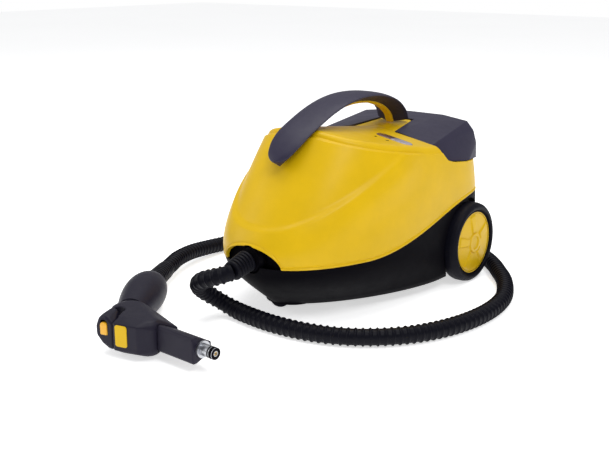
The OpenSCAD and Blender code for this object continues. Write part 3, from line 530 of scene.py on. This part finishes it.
def well_liner(side):
    """The inner wall of a wheel well, a shallow dish that ends at the shell."""
    outline = [(4.2, 7), (10, 7), (11, 6), (11, -2), (WELL_R + 2.6, -2), (WELL_R + 2.6, 9),
               (WELL_R + 0.1, 9), (WELL_R - 1, 3), (WELL_R - 4, 1), (14, 1), (13, 9), (4.2, 9)]
    outline = [(r, side * (WELL_X - 4 + t)) for r, t in outline]
    name = "well_liner_left" if side > 0 else "well_liner_right"
    dish = lathe(name, outline, (0, AXLE_Y, AXLE_Z), (1, 0, 0))
    keep = prism("keep", [(42, CLEARANCE), (150, CLEARANCE), (150, 118), (42, 118)], -150, 150, axis="x")
    return combine(dish, [keep], "INTERSECT")


# ---------- Handle ----------
# Points along the top as (y, z, share of the full width)
HANDLE = [(-183.6, 208.6, 0.04), (-183, 209.5, 0.24), (-181.2, 212.2, 0.44), (-177.4, 217.6, 0.63),
          (-170, 225, 0.78), (-159, 234, 0.91), (-142, 245, 0.98), (-116, 257, 1), (-88, 268, 1),
          (-56, 277, 1), (-20, 282, 1), (16, 281, 1), (48, 275, 1), (72, 265, 1), (90, 251, 0.98),
          (98, 236, 0.97)]
HANDLE_HALF_W, COVER_T, CORE_T, KEEL = 28.0, 12.0, 3.0, 0.24
HANDLE_STEPS, CORE_FROM = 8, 42


def band_rings(path, outline):
    """The outline of (share of half width, height) set square to the path at each of its points."""
    heading = np.gradient(path[:, :2], axis=0)
    heading /= np.linalg.norm(heading, axis=1)[:, None]
    normal = np.stack([-heading[:, 1], heading[:, 0]], axis=1)
    rings = []
    for p, n in zip(path, normal):
        half = p[2] * HANDLE_HALF_W
        rings.append([(s * half, p[0] + n[0] * h, p[1] + n[1] * h) for s, h in outline])
    return rings


def add_handle():
    path = spline(HANDLE, HANDLE_STEPS)
    crown = [(s, 2 - 3.5 * abs(s) ** 2.8) for s in np.linspace(0.975, -0.975, 25)]
    flank = [(-1, -1.9), (-1, -3.1), (-0.96, -3.9), (-0.68, -7.8), (-KEEL - 0.03, -COVER_T + 0.3)]
    cover = flank + [(-KEEL, -COVER_T), (KEEL, -COVER_T)] + [(-s, h) for s, h in flank[::-1]]
    low = COVER_T + CORE_T
    core = [(KEEL, -COVER_T - 0.1), (-KEEL, -COVER_T - 0.1), (-0.97 * KEEL, -low + 1.2),
            (-0.8 * KEEL, -low), (0.8 * KEEL, -low), (0.97 * KEEL, -low + 1.2)]
    top = loft("handle_cover_skin", band_rings(path, crown + cover))
    under = loft("handle_core_skin", band_rings(path[CORE_FROM:], core))
    for piece, node in ((top, "handle_cover"), (under, "handle_core")):
        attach(piece, "machine")
        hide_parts(node)
    return {"dark_cover": [top], "yellow_shell": [under]}


# ---------- Rear lid ----------
LID_HOOD = [(0, 24, 226), (42, 26, 224), (104, 39, 211), (124, 40, 170), (124, 100, 165), (112, 156, 165),
            (109, 159, 200), (104, 158, 218), (93, 157, 231), (50, 160, 236), (0, 161, 236), (0, 178, 165),
            (90, 172, 165), (96, 168, 205)]
LID_T, LID_GAP = 2.6, 0.8
HINGE_AT, HINGE_HALF_SPAN, KNUCKLE_R, EAR_X = (168, 184), 49, 4, 36


def hood(name, inset):
    """The lid's outer form, or the space inside it when drawn in by the inset."""
    points = []
    for x, y, z in LID_HOOD:
        across = x * (1 - inset / 110)
        points += [(s * across, y + (95 - y) * inset / 70, z - inset) for s in (-1, 1)]
    return bevel(hull(name, points), max(3 - inset, 0.6), 4, 12)


def add_lid():
    lid = hood("rear_lid_skin", 0)
    combine(lid, [hood("lid_inside", LID_T)])
    space = lid_space(LID_GAP)
    span = HINGE_HALF_SPAN
    recess = cylinder_x("recess", KNUCKLE_R + 1.4, -span, span, HINGE_AT)
    slot = prism("slot", [(160, 150), (200, 150), (200, 179), (160, 179)], -110, 110, axis="x")
    slot_mid = prism("slot_mid", [(160, 150), (200, 150), (200, 188), (160, 188)], -span, span, axis="x")
    combine(space, [slot, slot_mid, recess])
    combine(lid, [space], "INTERSECT", sharp=22)
    ears = []
    knuckle = [(HINGE_AT[0] + KNUCKLE_R * math.cos(a), HINGE_AT[1] + KNUCKLE_R * math.sin(a))
               for a in np.linspace(math.pi, 2 * math.pi, 16)]
    outline = fillet(knuckle + [(173, 194), (173, 204), (167, 204), (166, 194)], 1)
    for x in (-EAR_X, EAR_X):
        ear = prism("lid_ear_left" if x > 0 else "lid_ear_right", outline, x - 3, x + 3, axis="x")
        ears.append(combine(ear, [cylinder_x("pin_hole", 2.06, x - 9, x + 9, HINGE_AT)]))
    for piece in [lid] + ears:
        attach(piece, "rear_lid")
    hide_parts("rear_lid")
    return {"dark_cover": [lid] + ears}


SPINE = [(38.6, 44), (25, 108), (-25, 108), (-38.6, 44)]
SPINE_RISE = 7.0


def add_spine():
    """The raised middle of the deck, level with the lid on both sides of the handle's foot."""
    rings = []
    for drop, shrink in ((6.0, 0.0), (1.0, 0.0), (0.3, 0.02), (0.0, 0.06)):
        ring = []
        for x, y in fillet(SPINE, 3, 4):
            x = x * (1 - shrink)
            rise = SPINE_RISE * ease((y - 40) / 40)
            ring.append((x, y, float(deck_z(np.float64(x), np.float64(y))) + rise - drop))
        rings.append(ring)
    spine = loft("deck_spine", rings)
    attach(spine, "machine")
    return {"yellow_shell": [spine]}


# ---------- Lamp window ----------
# How far the lens has drawn in at each height
LENS_CROWN = [(0, -4.2), (0, -0.2), (0.25, 0.35), (0.8, 0.7), (1.8, 0.95), (4, 1.15), (7.5, 1.25),
              (10.4, 1.28)]


def add_lenses():
    made = {}
    for side, node in ((-1, "power_lens"), (1, "ready_lens")):
        rings = []
        for shrink, z in LENS_CROWN:
            edge = capsule(LENS_R - 0.1 - shrink, LENS_SPAN, 24)
            rings.append([(max(side * x, 0.2) * side, y, z) for x, y in edge])
        lens = loft(node + "_dome", rings, on_deck, 30)
        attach(lens, "machine")
        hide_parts(node)
        made[node] = [lens]
    return made


def add_deck_marks():
    """Two small generic marks beside the lamp window: a drop and a bolt shape."""
    turn = np.linspace(0, 2 * math.pi, 28)[:-1]
    drop = [(2.2 * math.sin(a) * math.sin(a / 2) ** 1.5, -2.4 * math.cos(a)) for a in turn]
    bolt = [(-0.4, 3), (1.3, 3), (0.5, 0.7), (1.9, 0.7), (-0.9, -3), (-0.2, -0.4), (-1.6, -0.4)]
    marks = []
    for name, outline, at in (("mark_drop", drop, (-15, -26)), ("mark_bolt", bolt, (5, -26))):
        mark = prism(name, [(x + at[0], y + at[1]) for x, y in outline], -0.4, 0.25, on_deck)
        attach(mark, "machine")
        marks.append(mark)
    return {"black_plastic": marks}


# ---------- Wheels ----------
TRACK_X, TYRE_R, TYRE_W, BEAD_R = 143.0, 59.5, 26.0, 49.1
HUBCAP_R, HUBCAP_T, SPOKES = 46.4, 6, 5


def hubcap(name, side):
    """A dished cap with five raised spokes, a raised ring and a boss."""
    radii = np.concatenate([np.linspace(0.05, 8, 8), np.linspace(8.6, 14.5, 10), np.linspace(15.5, 38, 26),
                            np.linspace(38.8, 43.6, 9)])
    turn = np.linspace(0, 2 * math.pi, 240, endpoint=False)
    r, a = np.meshgrid(radii, turn, indexing="ij")
    reach = r * HUBCAP_R / radii[-1]
    depth = 1.6 + 2.4 * (r / 44) ** 2
    across = r * np.sin(((a / (2 * math.pi) * SPOKES + 0.15) % 1 - 0.5) * 2 * math.pi / SPOKES)
    wide = 3.4 + 0.09 * r
    spoke = ease((wide + 0.8 - np.abs(across)) / 1.6) * ease((r - 14.5) / 2) * ease((40.5 - r) / 2.5)
    ring = ease((r - 8.4) / 1.2) * ease((14.2 - r) / 1.2)
    lip = ease((r - 41) / 0.8) * ease((43.9 - r) / 0.6)
    edge = ease((r - 43.2) / 0.4)
    depth = depth - 2.3 * spoke * (1 - 0.35 * ease((r - 20) / 20)) - 2.0 * ring - 1.0 * lip + 1.2 * edge
    depth = np.maximum(depth, -1.2)
    x = side * (TRACK_X - depth)
    face = np.stack([x, AXLE_Y + reach * np.cos(a), AXLE_Z + reach * np.sin(a)], axis=-1)
    back = face[::-1].copy()
    back[..., 0] = side * (TRACK_X - HUBCAP_T)
    rings = np.concatenate([face, back])
    return loft(name, rings)


def add_wheels():
    made = {"yellow_shell": [], "tyre_rubber": []}
    outline = fillet([(BEAD_R, 1.5), (51, 0.2), (53.4, 0), (56.2, 1.2), (58.4, 4.2), (TYRE_R, 9),
                      (TYRE_R, TYRE_W - 7), (58, TYRE_W - 2), (54, TYRE_W), (BEAD_R, TYRE_W)], 3, 5)
    for side, word in ((1, "left"), (-1, "right")):
        body = word + "_wheel"
        cap = hubcap(word + "_hubcap_face", side)
        tyre = lathe(word + "_tyre_skin", [(r, side * (TRACK_X - t)) for r, t in outline],
                     (0, AXLE_Y, AXLE_Z), (1, 0, 0), steps=128)
        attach(cap, body)
        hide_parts(word + "_hubcap")
        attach(tyre, body)
        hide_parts(word + "_tyre")
        made["yellow_shell"].append(cap)
        made["tyre_rubber"].append(tyre)
    return made


# ---------- Bend reliefs ----------
RELIEF_BORE_R, GROOVE_DEPTH, GROOVE_SHARE = 5, 1.7, 0.13


def relief(name, start, end, r1, r2, ribs):
    """A tapered sleeve with rounded ribs along a straight line."""
    start, end = np.array(start, float), np.array(end, float)
    length = np.linalg.norm(end - start)
    pitch = length / ribs
    outline = [(RELIEF_BORE_R, 0)]
    for t in np.linspace(0, length, ribs * 14 + 1):
        phase = (t / pitch) % 1.0
        groove = GROOVE_DEPTH * math.exp(-(min(phase, 1 - phase) / GROOVE_SHARE) ** 2)
        outline.append((r1 + (r2 - r1) * t / length - groove - 0.3 * (2 * phase - 1) ** 2, t))
    outline.append((RELIEF_BORE_R, length))
    return lathe(name, outline, start, (end - start) / length, sharp=50)


def add_reliefs():
    front = relief("front_relief", (0, -240.4, 88), (0, -269.4, 80), 15, 13.5, 6)
    gun = relief("gun_relief", (-171, -247, 27.2), (-196, -201, 27.2), 14.5, 13, 8)
    for piece, node in ((front, "front_sleeve"), (gun, "gun_sleeve")):
        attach(piece, "machine")
        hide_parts(node)
    return {"hose_rubber": [front, gun]}


# ---------- Steam gun ----------
BODY_T, FLAT_Y, BARREL_LEN, SPIGOT_END = 46.0, -17.4, 68.0, 91.4
GRIP_FROM, GRIP_TO, GRIP_START = np.array([-79.0, 58.0, 0]), np.array([-131.0, 187.0, 0]), 8.0
LEVER_Z, LEVER_T, LEVER_FRONT_Y = 5.0, 38.0, -14.5
LOCK_AT, LOCK_W, LOCK_T = (-69.0, 0.0), 10, 16
GRIP_R, GRIP_STRETCH = 27.0, (1.06, 1.0)
# Section of the barrel as (across it, up)
BARREL_SECTION = [(-16, -13.5), (-13, -16.5), (-9, -16.5), (15, -8), (15, 5), (-9, 16.5), (-13, 16.5),
                  (-16, 13.5)]
# Front of the lever as (along the gun's flat face, up)
LEVER_LEAF = [(-60, 24), (-72, 22), (-77, 10), (-76.5, -2), (-68, -12), (-58, -18), (-51.2, -18),
              (-51.2, 17)]


def pod(at, r, thickness, steps=40):
    """Points of an upright pin with softly narrowed ends, a corner of a softened block."""
    half = thickness / 2
    points = []
    for share, z in ((0.45, half), (0.7, half - 1.6), (0.88, half - 4.4), (1, half - 9),
                     (1, 9 - half), (0.88, 4.4 - half), (0.7, 1.6 - half), (0.45, -half)):
        points += [(x, y, z) for x, y in circle(at, r * share, steps)]
    return points


def block(name, low, high):
    """A box between two corners in gun millimetres."""
    corners = [(low[0], low[1]), (high[0], low[1]), (high[0], high[1]), (low[0], high[1])]
    return prism(name, corners, low[2], high[2], on_gun)


def barrel_bar(name, start, end, scale):
    """A length of the barrel's section, for cutting its room in the body."""
    rings = [[(x, y * scale, z * scale) for y, z in fillet(BARREL_SECTION, 2.4, 4)] for x in (start, end)]
    return loft(name, rings, on_barrel, 30)


def gun_body():
    corners = [(x, y, z) for x in (-48, -14) for y in (FLAT_Y, 2.6) for z in (-16, 18)]
    fin = [(x, y, z) for x, y in circle((8, 32), 3, 16) for z in (-6, 6)]
    shell = hull("gun_body_skin", pod((-37, 8), 24, BODY_T) + pod((-13, 5), 17, BODY_T)
                 + pod((-64, 38), 25, BODY_T) + corners + fin, on_gun)
    axis = (GRIP_TO - GRIP_FROM) / np.linalg.norm(GRIP_TO - GRIP_FROM)
    recess = hull("recess", pod((-66, -2), 13.6, 76) + pod((-67, 14), 12, 76), on_gun)
    socket = lathe("socket", rod(GRIP_R - 2, 0, 80), GRIP_FROM + (GRIP_START - 3) * axis, axis, on_gun)
    combine(shell, [recess, socket, block("cheek_room", (-80, FLAT_Y - 1, -28), (-50, FLAT_Y + 16, 28)),
                    block("cavity", (-42, -9, -12), (-8, 26, 12)), barrel_bar("barrel_room", -8, 60, 1.02),
                    block("tab_room", (-64, LEVER_FRONT_Y, -9), (-41.5, -1.5, 9))])
    soften(shell, 0.9, 5)
    return shell


def gun_grip():
    axis = GRIP_TO - GRIP_FROM
    length = np.linalg.norm(axis)
    axis = axis / length
    t = np.concatenate([np.linspace(0, 0.9, 40), np.linspace(0.9, 1, 16)[1:]])
    radius = GRIP_R * (0.7 + 0.3 * np.sin(math.pi * t ** 1.15)) * np.sqrt(np.clip(
        1 - (np.clip(t - 0.5, 0, None) / 0.56) ** 4, 0, 1))
    length -= GRIP_START
    outline = [(5.5, 0)] + list(zip(radius, length * t)) + [(5.5, length)]
    return lathe("gun_grip_skin", outline, GRIP_FROM + GRIP_START * axis, axis, on_gun, steps=128,
                 stretch=GRIP_STRETCH)


def gun_barrel():
    outline = fillet(BARREL_SECTION, 2.4, 5)
    rings = []
    for x, scale in ((-6, 1), (BARREL_LEN - 1.4, 1), (BARREL_LEN - 0.5, 0.97), (BARREL_LEN, 0.9)):
        rings.append([(x, y * scale, z * scale) for y, z in outline])
    barrel = loft("gun_barrel_skin", rings, on_barrel, 30)
    outline = [(0.01, -10), (10, -10), (10, 54), (7.6, 54), (7.6, 80), (0.01, 80)]
    return combine(barrel, [lathe("bore", outline, (0, 0, 0), (1, 0, 0), on_barrel)], sharp=30)


def spigot_face():
    """Dark sleeve and seat in the end of the spigot, round the jet."""
    outline = [(2.7, -2.4), (3.4, 0.1), (5.0, 0.35), (6.9, 0.3), (7.5, -0.3), (7.56, -1), (7.56, -5),
               (7.3, -5.2)]
    return lathe("gun_spigot_face", outline, (SPIGOT_END, 0, 0), (1, 0, 0), on_barrel, steps=64)


def gun_lever():
    """The lever's leaf-shaped shell, and the tab that carries its pivot."""
    leaf = fillet(LEVER_LEAF, 7, 6)
    middle = np.mean(leaf, axis=0)
    face = middle + (np.array(leaf) - middle) * 0.86
    points = np.array([(x, y, z - LEVER_Z) for x, z in leaf for y in (LEVER_FRONT_Y + 2.5, -6.5)]
                      + [(x, LEVER_FRONT_Y, z - LEVER_Z) for x, z in face]
                      + pod((-67, -3.5), 9.6, LEVER_T - 2) + pod((-69, 10.5), 8, LEVER_T), float)
    points[:, 2] += LEVER_Z
    lever = soften(hull("gun_lever_skin", points, on_gun), 0.8, 5)
    room = prism("lock_room", lock_outline(0.3, 3), -17, -8.8, on_gun, "y")
    spring = lathe("spring_room", rod(6, 0, 14), (-62.8, 6, 0), (1, 0, 0), on_gun)
    combine(lever, [room, spring])
    tab = block("gun_lever_tab", (-66, -12, -8), (-46.5, -4, 8))
    return lever, bevel(tab, 1.2)


def lock_outline(grow, travel):
    """Outline of the lock button in the lever's front, round at the top."""
    x, z = LOCK_AT
    left, right, bottom, top = x - grow, x + LOCK_W + grow, z - grow, z + LOCK_T + grow + travel
    corners = [(left, bottom), (right, bottom), (right, top), (left, top)]
    lower, upper = fillet(corners, 1.6, 4), fillet(corners, 4.6 + grow, 8)
    middle = z + LOCK_T / 2
    return [p for p in lower if p[1] < middle] + [p for p in upper if p[1] >= middle]


def gun_lock_button():
    front = LEVER_FRONT_Y - 1.4
    return bevel(prism("gun_lock_button_cap", lock_outline(0, 0), front, front + 7, on_gun, "y"), 1.0, 4)


def gun_panel():
    outline = fillet([(-45, -10), (-28, -10), (-28, 17), (-45, 17)], 3.4, 6)
    rings = [[(x, y, z) for x, z in outline] for y in (FLAT_Y, FLAT_Y - 0.9)]
    rings.append([(-36.5 + (x + 36.5) * 0.95, FLAT_Y - 1.2, 3.5 + (z - 3.5) * 0.97) for x, z in outline])
    return loft("gun_panel_plate", rings, on_gun, 25)


def add_gun():
    lever, tab = gun_lever()
    still = {"gun_body": gun_body(), "gun_grip": gun_grip(), "gun_barrel": gun_barrel(),
             "gun_panel": gun_panel()}
    for node, piece in still.items():
        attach(piece, "machine")
        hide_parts(node)
    for piece in (lever, tab):
        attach(piece, "gun_lever")
    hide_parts("gun_lever")
    face = spigot_face()
    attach(face, "machine")
    button = gun_lock_button()
    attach(button, "gun_lock_button")
    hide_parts("gun_lock_button")
    return {"gun_plastic": [still["gun_body"], still["gun_grip"], still["gun_barrel"], lever, tab],
            "black_plastic": [face], "yellow_shell": [still["gun_panel"]], "lock_orange": [button]}


# ---------- Materials ----------
class Graph:
    """A short way to build a node tree."""

    def __init__(self, name):
        self.material = bpy.data.materials.new(name)
        self.material.use_nodes = True
        self.tree = self.material.node_tree
        self.shader = self.tree.nodes["Principled BSDF"]
        self.place = self.tree.nodes.new("ShaderNodeTexCoord").outputs["Object"]

    def add(self, kind, inputs=(), **settings):
        node = self.tree.nodes.new(kind)
        for key, value in settings.items():
            setattr(node, key, value)
        for key, value in dict(inputs).items():
            if isinstance(value, bpy.types.NodeSocket):
                self.tree.links.new(value, node.inputs[key])
            else:
                node.inputs[key].default_value = value
        return node

    def noise(self, size_mm, detail=2.0, rough=0.5, squash=None):
        at = self.place
        if squash:
            at = self.add("ShaderNodeVectorMath", {0: at, 1: squash}, operation="MULTIPLY").outputs[0]
        return self.add("ShaderNodeTexNoise", {"Vector": at, "Scale": 1 / (size_mm * MM), "Detail": detail,
                                               "Roughness": rough}).outputs["Fac"]

    def span(self, value, low, high, to_low, to_high):
        return self.add("ShaderNodeMapRange", {"Value": value, "From Min": low, "From Max": high,
                                               "To Min": to_low, "To Max": to_high}).outputs[0]

    def mix(self, factor, a, b):
        return self.add("ShaderNodeMix", {0: factor, 6: a, 7: b}, data_type="RGBA").outputs[2]

    def bump(self, height, depth_mm, under=None):
        inputs = {"Height": height, "Distance": depth_mm * MM, "Strength": 1.0}
        if under:
            inputs["Normal"] = under
        return self.add("ShaderNodeBump", inputs).outputs[0]

    def set(self, **values):
        for key, value in values.items():
            name = key.replace("_", " ")
            if isinstance(value, bpy.types.NodeSocket):
                self.tree.links.new(value, self.shader.inputs[name])
            else:
                self.shader.inputs[name].default_value = value


def tint(color, factor):
    return (color[0] * factor, color[1] * factor, color[2] * factor, 1)


def plastic(name, color, rough, grain_mm, grain_depth, wear=0.25, coat=0.0, specular=0.5, cloud=0.06):
    """Moulded plastic: a fine spark-eroded grain, slight clouding, handling sheen and rubbed edges."""
    g = Graph(name)
    clouds = g.noise(55, 3.0, 0.6)
    base = g.mix(g.span(clouds, 0.3, 0.7, 0, 1), tint(color, 1 - cloud), tint(color, 1 + cloud * 0.6))
    specks = g.noise(0.9, 1.0)
    base = g.mix(g.span(specks, 0.45, 0.75, 0, 0.12), base, tint(color, 0.72))
    edge = g.span(g.add("ShaderNodeNewGeometry").outputs["Pointiness"], 0.53, 0.62, 0, wear)
    base = g.mix(edge, base, (color[0] * 0.75 + 0.22, color[1] * 0.75 + 0.2, color[2] * 0.75 + 0.2, 1))
    sheen = g.span(g.noise(18, 4.0, 0.65), 0.3, 0.7, rough - 0.05, rough + 0.06)
    grain = g.noise(grain_mm, 2.0, 0.6)
    waves = g.noise(40, 1.0)
    normal = g.bump(grain, grain_depth, g.bump(waves, 0.25))
    g.set(Base_Color=base, Roughness=sheen, Normal=normal, Coat_Weight=coat, Coat_Roughness=0.25)
    g.shader.inputs["Specular IOR Level"].default_value = specular
    return g.material


def rubber(name, color, rough, grain_mm=0.5, grain_depth=0.05, dust=0.12):
    """Elastomer: matt, faintly bloomed, with light dust in patches."""
    g = Graph(name)
    bloom = g.span(g.noise(24, 4.0, 0.65), 0.42, 0.72, 0, dust)
    base = g.mix(bloom, tint(color, 1), (color[0] + 0.02, color[1] + 0.02, color[2] + 0.024, 1))
    scuffs = g.span(g.noise(5, 5.0, 0.7), 0.58, 0.72, 0, 0.25)
    base = g.mix(scuffs, base, tint(color, 1.7))
    g.set(Base_Color=base, Roughness=g.span(g.noise(7, 3.0), 0.3, 0.7, rough - 0.06, rough + 0.08),
          Normal=g.bump(g.noise(grain_mm, 2.0), grain_depth), Specular_IOR_Level=0.1)
    return g.material


def metal(name, color, rough, stretch=(1, 1, 12), scratch=0.02):
    """Bare metal: fine drawn lines, cloudy tarnish and small bright scratches."""
    g = Graph(name)
    lines = g.noise(1.2, 4.0, 0.7, stretch)
    tarnish = g.span(g.noise(9, 4.0, 0.6), 0.35, 0.7, 0, 0.35)
    base = g.mix(tarnish, tint(color, 1), tint(color, 0.72))
    g.set(Base_Color=base, Metallic=1.0, Roughness=g.span(lines, 0.3, 0.7, rough - 0.07, rough + 0.1),
          Normal=g.bump(lines, scratch))
    return g.material


def lens(name, inner, outer, rough):
    """Tinted plastic over a lamp: cloudy from one colour to the other, with fine ribs."""
    g = Graph(name)
    fade = g.span(g.noise(16, 1.0), 0.35, 0.65, 0, 1)
    base = g.mix(fade, inner + (1,), outer + (1,))
    ribs = g.add("ShaderNodeTexWave", {"Vector": g.place, "Scale": 260.0, "Distortion": 0.4}).outputs["Fac"]
    g.set(Base_Color=g.mix(g.span(ribs, 0, 1, 0, 0.12), base, tint(inner, 0.6)), Roughness=g.span(
        g.noise(6, 3.0), 0.3, 0.7, rough, rough + 0.08), Normal=g.bump(ribs, 0.03), Coat_Weight=0.5,
        Coat_Roughness=0.08)
    return g.material


MATERIALS = {
    "yellow_shell": plastic("yellow_plastic", (0.78, 0.49, 0.003), 0.38, 0.5, 0.012, wear=0.05, coat=0.05,
                            specular=0.2),
    "tray_plastic": plastic("tray_plastic", (0.72, 0.5, 0.03), 0.5, 0.6, 0.03, wear=0.15),
    "dark_cover": plastic("dark_plastic", (0.027, 0.023, 0.05), 0.46, 0.45, 0.03, wear=0.04, specular=0.3),
    "gun_plastic": plastic("gun_plastic", (0.014, 0.012, 0.025), 0.46, 0.5, 0.03, wear=0.03, specular=0.2),
    "black_plastic": plastic("black_plastic", (0.0025, 0.0022, 0.004), 0.5, 0.5, 0.03, wear=0.01,
                             specular=0.03),
    "white_plastic": plastic("white_plastic", (0.75, 0.74, 0.7), 0.5, 0.6, 0.02),
    "lock_orange": plastic("orange_plastic", (0.86, 0.43, 0.006), 0.35, 0.4, 0.01, coat=0.2),
    "hose_rubber": rubber("hose_rubber", (0.004, 0.004, 0.008), 0.4, dust=0.02),
    "seal_rubber": rubber("seal_rubber", (0.014, 0.014, 0.014), 0.6),
    "tyre_rubber": rubber("tyre_rubber", (0.005, 0.005, 0.010), 0.5, 0.6, 0.06, dust=0.03),
    "steel": metal("steel", (0.56, 0.56, 0.58), 0.3),
    "brass": metal("brass", (0.72, 0.5, 0.2), 0.3),
    "boiler_alloy": metal("boiler_alloy", (0.68, 0.69, 0.7), 0.42, (1, 1, 3)),
    "spigot_alloy": metal("spigot_alloy", (0.5, 0.51, 0.54), 0.3, (4, 4, 4), 0.008),
    "power_lens": lens("red_lens", (0.13, 0.06, 0.05), (0.2, 0.11, 0.09), 0.18),
    "ready_lens": lens("clear_lens", (0.33, 0.29, 0.34), (0.46, 0.42, 0.5), 0.18),
}


def dress():
    for slot_name, objs in pieces.items():
        for obj in objs:
            obj.data.materials.clear()
            obj.data.materials.append(MATERIALS[slot_name])
    for part in frame["record"]["subparts"]:
        obj = frame["nodes"][part["node"]]
        for holder in obj.material_slots:
            holder.link = "OBJECT"
            holder.material = MATERIALS[part["material_slot"]]


for build in (add_shells, add_spine, add_handle, add_lid, add_lenses, add_deck_marks, add_wheels,
              add_reliefs, add_gun):
    collect(build())
dress()


# ---------- Floor and light ----------
FLOOR_SIZE, FLOOR_GLOW, SKY_STRENGTH = 14, 0.6, 0.36
# Name, place, aim, size (metres) and power (watts) of each area light
LIGHTS = [("key", (1.5, -0.6, 2.3), (0, 0, 0.12), (1.0, 1.0), 20),
          ("top", (-0.3, 0.4, 2.4), (0, 0, 0.1), (2.0, 2.0), 34),
          ("left_fill", (-2.2, -1.4, 1.1), (0, 0, 0.15), (1.2, 1.6), 13)]


def add_floor():
    bpy.ops.mesh.primitive_plane_add(size=FLOOR_SIZE, location=(0, 0, 0))
    floor = bpy.context.object
    floor.name = "floor"
    g = Graph("floor")
    patches = g.span(g.noise(700, 2.0), 0.3, 0.7, 0, 1)
    g.set(Base_Color=g.mix(patches, (0.93, 0.93, 0.93, 1), (0.96, 0.96, 0.96, 1)),
          Roughness=g.span(g.noise(120, 2.0), 0.3, 0.7, 0.75, 0.9), Emission_Color=(1, 1, 1, 1),
          Emission_Strength=FLOOR_GLOW)
    floor.data.materials.append(g.material)


def add_light(name, at, target, size, power):
    data = bpy.data.lights.new(name, "AREA")
    data.shape = "RECTANGLE"
    data.size, data.size_y = size
    data.energy = power
    light = bpy.data.objects.new(name, data)
    light.location = at
    light.rotation_euler = (Vector(target) - Vector(at)).to_track_quat("-Z", "Y").to_euler()
    bpy.context.scene.collection.objects.link(light)


def add_studio():
    """Soft light from above and both sides, before a world that the camera sees as white."""
    world = bpy.data.worlds.new("studio")
    world.use_nodes = True
    tree = world.node_tree
    light = tree.nodes["Background"]
    light.inputs["Color"].default_value = (0.97, 0.98, 1, 1)
    light.inputs["Strength"].default_value = SKY_STRENGTH
    backdrop = tree.nodes.new("ShaderNodeBackground")
    backdrop.inputs["Color"].default_value = (1, 1, 1, 1)
    seen = tree.nodes.new("ShaderNodeMixShader")
    tree.links.new(tree.nodes.new("ShaderNodeLightPath").outputs["Is Camera Ray"], seen.inputs[0])
    tree.links.new(light.outputs[0], seen.inputs[1])
    tree.links.new(backdrop.outputs[0], seen.inputs[2])
    tree.links.new(seen.outputs[0], tree.nodes["World Output"].inputs["Surface"])
    bpy.context.scene.world = world
    bpy.context.scene.view_settings.view_transform = "Standard"
    for light_row in LIGHTS:
        add_light(*light_row)


add_floor()
add_studio()
